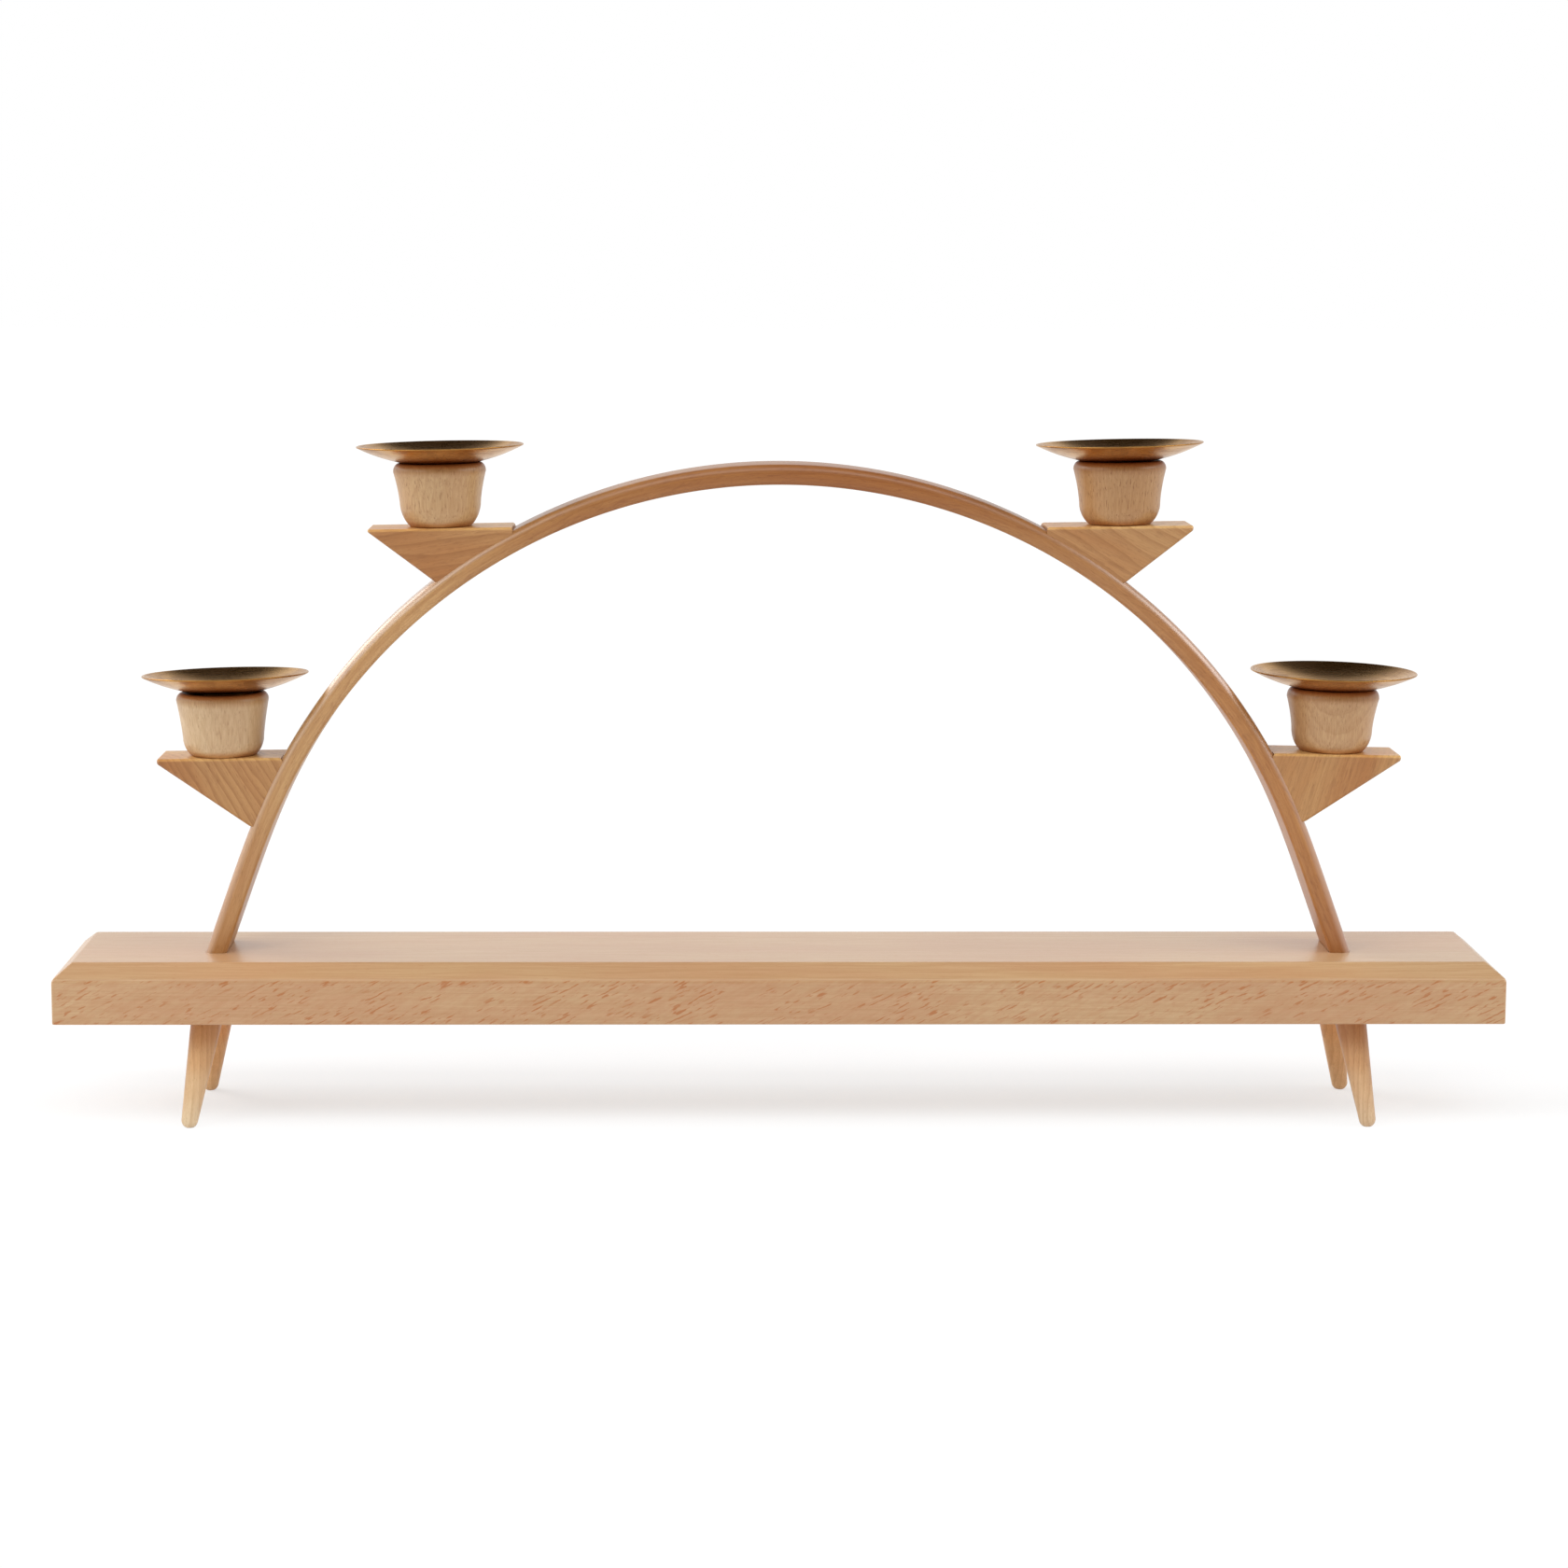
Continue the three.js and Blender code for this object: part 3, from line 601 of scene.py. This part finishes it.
def bracket_frame(where):
    """A bracket's own frame, as if it were on the right: its zero, where the flat top ends at the
    bow, the direction out along the top and the direction square to the top."""
    station, *_, lean = bracket_fits[where]
    lean = side_of(where) * np.radians(lean)
    thin_along, thin_height = bow_point(station, bracket_skin)
    out, up = np.array([np.cos(lean), 0, np.sin(lean)]), np.array([-np.sin(lean), 0, np.cos(lean)])
    return np.array([thin_along, 0, thin_height]) + bracket_thin_end * up, out, up


def on_bracket(where, points):
    """Points given in a bracket's own frame, brought to their place on the arch."""
    zero, out, up = bracket_frame(where)
    points = np.asarray(points, float)
    placed = zero + points[..., :1] * out + points[..., 1:2] * np.array([0, 1, 0]) + points[..., 2:] * up
    return placed * [side_of(where), 1, 1]


def cup_line(where):
    """Where a cup's axis meets the top of its bracket, and the axis."""
    foot, above = on_bracket(where, [(cup_along[where], 0, 0), (cup_along[where], 0, 1)])
    return foot, above - foot


def bracket_surface(where):
    """The wedge's outline, seen from the front, carried across its depth. Near the front and the
    back face its top, nose and lower edge move in by the arris. The hollow side follows the bow,
    whose outside falls away by r - sqrt(r^2 - d^2) where the depth is d into its round edge."""
    station, length, height, nose_height, _ = bracket_fits[where]
    zero, out, up = bracket_frame(where)

    def bow_line(stations, outside):
        along, level = bow_point(stations, outside)
        from_zero = np.stack([along, np.zeros_like(along), level], axis=-1) - zero
        return np.stack([from_zero @ out, from_zero @ up], axis=-1)

    below = np.linspace(station + 0.002, station + 0.05, 400)
    toe_station = np.interp(height, -bow_line(below, bracket_skin)[:, 1], below)
    half = bracket_depth / 2
    inner = half - bracket_arris
    edge = [(-half, bracket_arris), (-inner, 0), (inner, 0), (half, bracket_arris)]
    rings = []
    for across, inset in eased(edge, bracket_arris * 0.9, 7):
        into_round = max(abs(across) - (bow_depth / 2 - bow_round), 0)
        fall = bow_round - np.sqrt(bow_round**2 - into_round**2)
        hollow = bow_line(np.linspace(toe_station, station, 29), bow_thickness / 2 - fall - glue_bite)
        heel, nose_low = hollow[0] + (bracket_toe, 0), np.array([length, -nose_height])
        run = (nose_low - heel) / np.linalg.norm(nose_low - heel)
        low_start = heel + inset * np.array([-run[1], run[0]])
        nose = length - inset
        nose_level = min(low_start[1] + run[1] / run[0] * (nose - low_start[0]), -inset - least_nose)
        middle = (hollow[-1][0] + nose) / 2
        outline = [(middle, -inset), (nose, -inset), (nose, nose_level), low_start + run * lower_edge_start]
        outline = np.concatenate([outline, [hollow[0] + (0, inset / 2)]])
        loop = eased(outline, [bracket_nose_ease, bracket_nose_ease, bracket_heel_ease], 6)
        thin = [(hollow[-1][0], -inset - thin_edge), (hollow[-1][0] + 2 * thin_edge, -inset)]
        loop = np.concatenate([loop, hollow[1:], thin])
        rings.append(np.column_stack([loop[:, 0], np.full(len(loop), across), loop[:, 1]]))
    own = np.array(rings)
    return on_bracket(where, own if where.endswith("left") else own[:, ::-1])


def keep_own_place(piece, where):
    """Keeps for each point of a bracket where it lies in the bracket's own frame."""
    zero, out, up = bracket_frame(where)
    placed = np.empty(3 * len(piece.data.vertices))
    piece.data.vertices.foreach_get("co", placed)
    from_zero = placed.reshape(-1, 3) * [side_of(where), 1, 1] - zero
    own = np.stack([from_zero @ out, from_zero[:, 1], from_zero @ up], axis=-1)
    kept = piece.data.attributes.new("own_place", "FLOAT_VECTOR", "POINT")
    kept.data.foreach_set("vector", own.ravel().astype(np.float32))


bracket_grain = {
    "upper_left": dict(turn=(0, 10, 0), pith=(0, 30, -22), ring_width=2.6, rings=0.65, run_out=0.1),
    "upper_right": dict(turn=(0, -28, 0), pith=(0, 40, 34), ring_width=3.0, rings=0.6, run_out=0.05),
    "lower_left": dict(turn=(0, -62, 0), pith=(0, 60, 30), ring_width=1.9, rings=0.7, run_out=0.0),
    "lower_right": dict(turn=(0, 72, 0), pith=(0, 50, 40), ring_width=1.8, rings=0.3, run_out=0.02),
}
bracket_own_tint = {
    "upper_left": (1, 1, 1), "upper_right": (1.05, 1.10, 1.20),
    "lower_left": (1, 1, 1), "lower_right": (1.06, 1.08, 1.10),
}

# A painted light on the top: paler on its top and along the top's edges. The height under the top, and the
# tint there
bracket_painted_top_light = [(-0.0009, (1, 1, 1)), (-0.0003, (1.60, 1.90, 2.00))]

# The hole that the cup's screw goes into: its radius and height at each step
pilot = [(0.0004, -0.0092), (0.0016, -0.0057), (0.0016, 0.001)]

for number, (where, grain_values) in enumerate(bracket_grain.items()):
    bracket = skin(f"{where}_bracket_sawn", bracket_surface(where))
    bracket.data.materials.append(beech(
        f"beech_bracket_{where}", bracket_tones, streaks=0.3, pores=0.35, drift=1.0, coat=0.0,
        own_tint_place=True, tint_axis="Z", tint_marks=tinted(bracket_painted_top_light, bracket_own_tint[where]),
        flecks=0.25, fleck_tilt=0, shift=(grain_apart * number, 0, 0), **grain_values,
    ))
    cut_out(bracket, skin("pilot", turned_surface(pilot, 24, *cup_line(where))[0]))
    keep_own_place(bracket, where)
    crisp(bracket)
    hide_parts(f"{where}_bracket")
    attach(bracket, "arch_frame")


# Cups
# Turned from paler beech with the grain upright, no two quite alike: a rounded foot, a widening
# flank, a full round shoulder, and a socket with a countersunk hole in its floor for the screw.

cup_seat_height, cup_seat_radius, cup_seat_drop = 0.01765, 0.0110, 0.0011
cup_lip_radius, cup_belly_radius = 0.01284, 0.0112
socket_radius, socket_floor = 0.0095, 0.0049
screw_hole_radius, countersink_radius, countersink_depth = 0.0019, 0.0033, 0.0014
cup_lip_flat, cup_grain_apart, cup_columns = 0.0002, 0.07, 96
cup_tones = ((221, 185, 140), (186, 140, 94), (209, 167, 122), (146, 96, 56))

# The radius it stands on, the radius and height of the corner that its foot is rounded from, the
# height where the flank starts, how late the flank widens, and how high the shoulder is round
cup_turning = {
    "upper_left": (0.0084, 0.0108, 0.0024, 0.0060, 1.50, 0.0024),
    "upper_right": (0.0085, 0.0109, 0.0022, 0.0052, 1.60, 0.0022),
    "lower_left": (0.0089, 0.0107, 0.0014, 0.0042, 1.35, 0.0021),
    "lower_right": (0.0087, 0.0109, 0.0020, 0.0054, 1.60, 0.0026),
}
cup_grain = {
    "upper_left": dict(pith=(0, 30, 10), run_out=0.08, ring_width=1.6, rings=0.45, pores=0.6),
    "upper_right": dict(pith=(0, 24, -14), run_out=0.1, ring_width=1.3, rings=0.5, pores=0.7),
    "lower_left": dict(pith=(0, 34, 20), run_out=-0.3, ring_width=2.0, rings=0.3, pores=0.4),
    "lower_right": dict(pith=(0, 0, -25), run_out=-0.75, ring_width=4.5, rings=0.42, pores=0.5),
}
cup_own_tint = {
    "upper_left": (0.82, 0.81, 0.75), "upper_right": (0.71, 0.62, 0.49),
    "lower_left": (0.92, 1.01, 1.10), "lower_right": (0.79, 0.73, 0.66),
}

# Painted shade: darker at the foot, with a warm painted reflection of the bracket there, and darker under the
# tray. The height, and the tint there
cup_painted_shade = [
    (0.0, (0.84, 0.58, 0.36)),
    (0.0006, (0.84, 0.62, 0.42)),
    (0.0022, (1, 1, 1)),
    (0.0138, (1, 1, 1)),
    (0.0160, (0.80, 0.66, 0.50)),
    (0.0175, (0.85, 0.42, 0.20)),
]


def cup_profile(stand_radius, corner_radius, corner_height, foot_height, lateness, shoulder_height):
    """From the screw hole out along the foot, up the flank, over the shoulder, and down the mouth
    and the socket. The foot is a parabola, and the shoulder a quarter of an ellipse. Between them
    the radius grows from belly to lip by the share of the height to the power `lateness`."""
    t = np.linspace(0, 1, 14)[:, None]
    corners = np.array([(stand_radius, 0), (corner_radius, corner_height), (cup_belly_radius, foot_height)])
    foot = (1 - t) ** 2 * corners[0] + 2 * t * (1 - t) * corners[1] + t**2 * corners[2]
    turn = np.linspace(0, np.pi / 2, 12)
    lip_height = cup_seat_height - shoulder_height
    share = np.linspace(0, 1, 22)[1:-1]
    radius = cup_belly_radius + (cup_lip_radius - cup_belly_radius) * share**lateness
    flank = np.stack([radius, foot_height + share * (lip_height - foot_height)], axis=-1)
    shoulder = np.stack([cup_seat_radius + (cup_lip_radius - cup_seat_radius) * np.cos(turn),
                         lip_height + shoulder_height * np.sin(turn)], axis=-1)
    mouth = eased([
        (cup_seat_radius - cup_lip_flat, cup_seat_height), (socket_radius, cup_seat_height - cup_seat_drop),
        (socket_radius, socket_floor), (countersink_radius, socket_floor),
        (screw_hole_radius, socket_floor - countersink_depth), (screw_hole_radius, cup_lip_flat),
    ], [0.0003, 0.0005, 0.0001, 0.0001])
    return np.concatenate([[(screw_hole_radius, 0)], foot, flank, shoulder, mouth])


for number, (where, grain_values) in enumerate(cup_grain.items()):
    apart = cup_grain_apart * number
    cup_points, on_lathe = turned_surface(cup_profile(*cup_turning[where]), cup_columns, *cup_line(where))
    cup = skin(f"{where}_cup_turned", cup_points, on_lathe + [apart, 0, 0], closed_rows=True)
    cup_shade_marks = [(apart + height, tint) for height, tint in tinted(cup_painted_shade, cup_own_tint[where])]
    cup.data.materials.append(beech(
        f"beech_cup_{where}", cup_tones, streaks=0.6, drift=0.8, own_place=True,
        coat=0.05, grazing_shine=0.25, pore_fineness=0.5, tint_marks=cup_shade_marks,
        **grain_values,
    ))
    crisp(cup, 50)
    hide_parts(f"{where}_cup")
    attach(cup, "arch_frame")


# Cup screws
# Countersunk steel screws with a slot, through the floor of each socket into the bracket. The
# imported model's own solids serve, with a zinc finish that a driver has rubbed.

def zinc():
    """Dull zinc plate: grey, clouded by fine noise in both its colour and its gloss."""
    material, tree = empty_material("zinc_plated_steel")
    place = place_node(tree, "ShaderNodeTexCoord").outputs["Object"]
    cloud = stretched_noise(tree, place, (900, 900, 900), 4.0, 0.6)
    share = turn_to(tree, cloud, 0, 1, 0.35, 0.65)
    tint = mix_colours(tree, share, colour(150, 152, 155), colour(186, 187, 186))
    surface = place_node(tree, "ShaderNodeBsdfPrincipled", {
        "Base Color": tint, "Metallic": 1.0, "Roughness": turn_to(tree, cloud, 0.5, 0.32),
    })
    show_surface(tree, surface)
    return material


zinc_plate = zinc()
for where in bracket_grain:
    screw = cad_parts[f"{where}_cup_screw"]
    screw.data.materials.clear()
    screw.data.materials.append(zinc_plate)


# Drip trays
# Shallow dishes spun from thin brass sheet and satin finished, with a round hole in the middle.
# Each lies loose on its cup, tipped a little its own way.

tray_radius, tray_ball, tray_sheet, tray_hole = 0.02315, 0.051, 0.00045, 0.0078
tray_rest, tray_columns = 0.0177, 144
brass_bright = (204, 154, 84)
brass_dull = (156, 108, 56)
# The colour of the painted shade on a tray's underside, over its cup
brass_painted_shade = (92, 48, 20)

# How the tray lies: its right side and its back raised, in degrees, and how far it has slid to
# the right and to the back
tray_lies = {
    "upper_left": (1.1, -0.2, 0.00025, 0.0001),
    "upper_right": (1.4, -0.6, -0.0006, 0.0002),
    "lower_left": (1.4, -2.0, 0.0004, 0.0014),
    "lower_right": (-1.2, 0.4, 0.0001, 0.0),
}
tray_ball_centre = np.sqrt(tray_ball**2 - cup_seat_radius**2)


def spun_brass():
    """Rings of fine noise about the piece's own axis, as the spinning tool leaves them, over a slow cloud of
    tarnish. They steer the colour, the gloss and a shallow relief. On the underside near the hole, where the
    tray hangs over its cup, the colour is darkened by a painted shade."""
    tree, given, result = new_group(
        "spun_brass",
        [("Place", VECTOR), ("Bright", COLOUR), ("Dull", COLOUR), ("Painted Shade", COLOUR), ("Tarnish", FLOAT)],
        [("Color", COLOUR), ("Roughness", FLOAT), ("Height", FLOAT)],
    )
    millimetres = multiplied(tree, given["Place"], (1000, 1000, 1000))
    flat = multiplied(tree, millimetres, (0, 1, 1))
    radius = length_of(tree, flat)
    ring_place = place_node(tree, "ShaderNodeCombineXYZ", {0: radius}).outputs[0]
    inputs = {0: millimetres, 1: (0.02, 0.02, 0.02), 2: ring_place}
    around = place_node(tree, "ShaderNodeVectorMath", inputs, operation="MULTIPLY_ADD").outputs[0]
    line = stretched_noise(tree, around, (5.5, 5.5, 5.5), 3.0, 0.65)
    cloud = turn_to(tree, stretched_noise(tree, millimetres, (0.09, 0.09, 0.09), 4.0, 0.6), 0, 1, 0.38, 0.66)
    spots = turn_to(tree, stretched_noise(tree, millimetres, (1.1, 1.1, 1.1), 2.0), 0, 0.5, 0.66, 0.76)
    age = work_out(tree, "MULTIPLY", work_out(tree, "MAXIMUM", cloud, spots), given["Tarnish"])
    age = work_out(tree, "MAXIMUM", age, turn_to(tree, radius, 0, 0.6, 22.7, 23.0))
    age = work_out(tree, "ADD", age, turn_to(tree, line, -0.18, 0.18, 0.3, 0.7), clamp=True)
    # A painted shade: the underside near the hole, where it hangs over its cup, darkens to a warm brown
    from_middle = length_of(tree, millimetres)
    under = turn_to(tree, from_middle, 0, 0.8, 1000 * tray_ball - 0.3, 1000 * tray_ball - 0.1)
    heel = work_out(tree, "MULTIPLY", under, turn_to(tree, radius, 1, 0, 11.5, 17.5))
    metal = mix_colours(tree, age, given["Bright"], given["Dull"])
    tree.links.new(mix_colours(tree, heel, metal, given["Painted Shade"]), result["Color"])
    gloss = work_out(tree, "MULTIPLY_ADD", age, 0.10, turn_to(tree, line, 0.20, 0.28, 0.3, 0.7))
    tree.links.new(gloss, result["Roughness"])
    tree.links.new(line, result["Height"])
    return tree


def brass(name, group, tarnish):
    """Spun or drawn brass on the piece's kept place, more or less tarnished."""
    material, tree = empty_material(name)
    place = place_node(tree, "ShaderNodeAttribute", attribute_name="own_place").outputs["Vector"]
    spin = place_node(tree, "ShaderNodeGroup", node_tree=group)
    tree.links.new(place, spin.inputs["Place"])
    spin.inputs["Bright"].default_value = colour(*brass_bright)
    spin.inputs["Dull"].default_value = colour(*brass_dull)
    spin.inputs["Painted Shade"].default_value = colour(*brass_painted_shade)
    spin.inputs["Tarnish"].default_value = tarnish
    relief = {"Height": spin.outputs["Height"], "Strength": 0.25, "Distance": 0.00005}
    bump = place_node(tree, "ShaderNodeBump", relief)
    surface = place_node(tree, "ShaderNodeBsdfPrincipled", {
        "Base Color": spin.outputs["Color"], "Metallic": 1.0,
        "Roughness": spin.outputs["Roughness"], "Normal": bump.outputs["Normal"],
    })
    show_surface(tree, surface)
    return material


brass_group = spun_brass()
tray_brass = brass("brass_tray_satin", brass_group, 0.7)


def tipped(where, points):
    """Points about the middle of a tray's ball, tipped there, first raising the right side and
    then the back, and brought to the place where the ball rests on its cup's seat."""
    right, back, slide_right, slide_back = tray_lies[where]
    right, back = np.radians([right, back])
    raise_right = np.array([
        [np.cos(right), 0, -np.sin(right)],
        [0, 1, 0],
        [np.sin(right), 0, np.cos(right)],
    ])
    raise_back = np.array([
        [1, 0, 0],
        [0, np.cos(back), -np.sin(back)],
        [0, np.sin(back), np.cos(back)],
    ])
    climb = np.hypot(slide_right, slide_back) * cup_seat_radius / tray_ball_centre
    middle = on_bracket(where, (
        cup_along[where] + side_of(where) * slide_right, slide_back, tray_rest + climb + tray_ball_centre,
    ))
    return points @ (raise_back @ raise_right).T + middle


def tray_profile():
    """Heights are from the ball's middle: the underside from the hole to the rim, round the rim's
    edge, and back along the upper side, one sheet's thickness nearer the middle."""
    rim_angle = np.arcsin((tray_radius - tray_sheet / 2) / (tray_ball - tray_sheet / 2))
    angle = np.linspace(np.arcsin(tray_hole / tray_ball), rim_angle, 30)
    under = tray_ball * np.stack([np.sin(angle), -np.cos(angle)], axis=-1)
    over = (tray_ball - tray_sheet) * np.stack([np.sin(angle), -np.cos(angle)], axis=-1)[::-1]
    middle = tray_ball - tray_sheet / 2
    turn = np.degrees(rim_angle)
    rim_radius, rim_height = middle * np.sin(rim_angle), -middle * np.cos(rim_angle)
    edge = arc(rim_radius, rim_height, tray_sheet / 2, turn - 90, turn + 90, 7)
    return np.concatenate([under, edge[1:-1], over])


for where in tray_lies:
    flat_points, on_lathe = turned_surface(tray_profile(), tray_columns)
    tray = skin(f"{where}_tray_spun", tipped(where, flat_points), on_lathe, closed_rows=True)
    tray.data.materials.append(tray_brass)
    crisp(tray, 60)
    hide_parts(f"{where}_tray")
    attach(tray, f"{where}_drip_tray")


# Candle sleeves
# Drawn brass tubes with a closed floor, pressed through the hole of each tray. A flange lies on
# the dish and holds the tray, and the tube hangs in the cup's socket.

sleeve_inner, sleeve_outer, sleeve_wall = 0.0071, 0.0075, 0.0004
sleeve_depth, sleeve_flange, sleeve_corner, sleeve_seat_gap = 0.0120, 0.0017, 0.0008, 0.0003
sleeve_centre, sleeve_columns = 0.0003, 80
sleeve_eases = [sleeve_corner, 0.0002, 0.00012, 0.00012, 0.0004, 0.0005]
sleeve_brass = brass("brass_sleeve_drawn", brass_group, 0.45)


def sleeve_profile():
    """Under the floor, up the outside, out beneath the flange and back over it, down the inside
    to the floor. Heights are from the middle of the tray's ball, which the flange follows."""
    under = tray_ball - tray_sheet - sleeve_seat_gap
    over = under - sleeve_wall
    rim = sleeve_outer + sleeve_flange
    bottom = -tray_ball_centre - sleeve_depth
    return eased([
        (sleeve_centre, bottom),
        (sleeve_outer, bottom),
        (sleeve_outer, -np.sqrt(under**2 - sleeve_outer**2)),
        (rim, -np.sqrt(under**2 - rim**2)),
        (rim, -np.sqrt(over**2 - rim**2)),
        (sleeve_inner, -np.sqrt(over**2 - sleeve_inner**2)),
        (sleeve_inner, bottom + sleeve_wall),
        (sleeve_centre, bottom + sleeve_wall),
    ], sleeve_eases, 6)


for where in tray_lies:
    flat_points, on_lathe = turned_surface(sleeve_profile(), sleeve_columns)
    sleeve = skin(f"{where}_candle_sleeve_drawn", tipped(where, flat_points), on_lathe)
    sleeve.data.materials.append(sleeve_brass)
    crisp(sleeve, 50)
    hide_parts(f"{where}_candle_sleeve")
    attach(sleeve, f"{where}_drip_tray")


# Floor and studio
# A plain white table that keeps the object's shadow, a white surround under a dim ceiling, and
# four soft lamps: at the upper left, at the right, overhead, and at the left behind the arch.

card, white, dim_ceiling = (0.92, 0.92, 0.92, 1), (1, 1, 1, 1), (0.012, 0.006, 0.004, 1)
front_wall, light_behind, light_in_front = (0.25, 0.24, 0.23, 1), (0.56, 0.56, 0.57, 1), (0.47, 0.47, 0.48, 1)

# Where the table turns plain white, by the distance from the arch. The shadow is veiled with white,
# more in front of the arch than behind it: the depths between which that changes, and how much
white_from, shadow_line, shadow_veil = (0.10, 0.30), (-0.027, 0.010), (0.88, 0.57)


def seen_directly(tree):
    """1 for a ray from the camera, from a reflection or through glass, 0 for any other."""
    path = place_node(tree, "ShaderNodeLightPath").outputs
    shown = work_out(tree, "MAXIMUM", path["Is Camera Ray"], path["Is Glossy Ray"])
    return work_out(tree, "MAXIMUM", shown, path["Is Transmission Ray"])


def white_table():
    """Near the object it is lit as white card, with a little added light; further off it shows
    as plain white."""
    material, tree = empty_material("white_table")
    place = place_node(tree, "ShaderNodeTexCoord").outputs["Object"]
    away = multiplied(tree, place, (0.55, 1, 0))
    distance = length_of(tree, away)
    far = work_out(tree, "MULTIPLY", turn_to(tree, distance, 0, 1, *white_from), seen_directly(tree))
    depth = along_axis(tree, place, "Y")
    added = turn_to(tree, depth, *shadow_veil, *shadow_line)
    veil = work_out(tree, "MAXIMUM", far, work_out(tree, "MULTIPLY", seen_directly(tree), added))
    lit = place_node(tree, "ShaderNodeBsdfDiffuse", {"Color": card}).outputs[0]
    plain = place_node(tree, "ShaderNodeEmission", {"Color": white, "Strength": 1.04}).outputs[0]
    both = place_node(tree, "ShaderNodeMixShader", {0: veil, 1: lit, 2: plain})
    show_surface(tree, both)
    return material


table_reach = 8.0
table_mesh = bpy.data.meshes.new("white_table")
table_mesh.from_pydata(
    [(-table_reach, -table_reach, 0), (table_reach, -table_reach, 0), (table_reach, table_reach, 0),
     (-table_reach, table_reach, 0)], [], [(0, 1, 2, 3)],
)
table = bpy.data.objects.new("white_table", table_mesh)
bpy.context.scene.collection.objects.link(table)
table_mesh.materials.append(white_table())

studio = bpy.data.worlds.new("studio")
bpy.context.scene.world = studio
studio.use_nodes = True
sky = studio.node_tree
sky.nodes.clear()
direction = place_node(sky, "ShaderNodeTexCoord").outputs["Generated"]
upward = along_axis(sky, direction, "Z")
ceiling = turn_to(sky, upward, 0, 1, 0.44, 0.65)
backward = along_axis(sky, direction, "Y")
behind_camera = turn_to(sky, backward, 1, 0, -0.75, -0.15)
wall = mix_colours(sky, behind_camera, white, front_wall)
shown = mix_colours(sky, ceiling, wall, dim_ceiling)
lighting = mix_colours(sky, behind_camera, light_behind, light_in_front)
surround = mix_colours(sky, seen_directly(sky), lighting, shown)
from_camera = place_node(sky, "ShaderNodeLightPath").outputs["Is Camera Ray"]
surround = mix_colours(sky, from_camera, surround, white)
background = place_node(sky, "ShaderNodeBackground", {"Color": surround, "Strength": 1.0})
sky.links.new(background.outputs[0], place_node(sky, "ShaderNodeOutputWorld").inputs["Surface"])


def soft_lamp(name, position, aim, width, height, power):
    """A rectangular lamp that faces the point it aims at."""
    lamp = bpy.data.lights.new(name, "AREA")
    lamp.shape, lamp.size, lamp.size_y, lamp.energy = "RECTANGLE", width, height, power
    holder = bpy.data.objects.new(name, lamp)
    bpy.context.scene.collection.objects.link(holder)
    holder.location = position
    toward = np.array(aim) - np.array(position)
    holder.rotation_euler = (
        np.arctan2(np.hypot(toward[0], toward[1]), -toward[2]), 0, np.arctan2(-toward[0], toward[1]),
    )


soft_lamp("lamp_upper_left", (-1.05, -0.85, 0.95), (0, 0, 0.1), 0.8, 0.8, 5.8)
soft_lamp("lamp_right", (1.2, -0.25, 0.85), (0, 0, 0.1), 1.0, 0.5, 6.7)
soft_lamp("lamp_overhead", (0, -0.50, 1.15), (0, 0, 0.05), 1.5, 0.5, 4.0)
soft_lamp("lamp_left", (-1.15, 0.45, 0.85), (0, 0, 0.1), 1.3, 0.6, 10.0)


# Camera
# A long lens a little over a metre in front of the arch, left of its middle and above it,
# tipped down by about eight degrees.

frame_width, lens_pixels, centre_across = 1680, 4200, 800
camera_place = np.array([-0.02366, -1.0876, 0.24904])
pitch, yaw, roll = np.radians([8.18, 0.77, 0.12])

forward = np.array([np.sin(yaw) * np.cos(pitch), np.cos(yaw) * np.cos(pitch), -np.sin(pitch)])
level_right = np.array([np.cos(yaw), -np.sin(yaw), 0])
level_up = np.cross(level_right, forward)
right_axis = np.cos(roll) * level_right + np.sin(roll) * level_up
up_axis = -np.sin(roll) * level_right + np.cos(roll) * level_up

lens = bpy.data.cameras.new("camera")
lens.sensor_width = 36
lens.lens = lens_pixels / frame_width * lens.sensor_width
lens.shift_x = (frame_width / 2 - centre_across) / frame_width
camera = bpy.data.objects.new("camera", lens)
bpy.context.scene.collection.objects.link(camera)
stand = np.eye(4)
stand[:3, 0], stand[:3, 1], stand[:3, 2], stand[:3, 3] = right_axis, up_axis, -forward, camera_place
camera.matrix_world = stand.T.tolist()
bpy.context.scene.camera = camera

bpy.context.scene.view_settings.view_transform = "Standard"
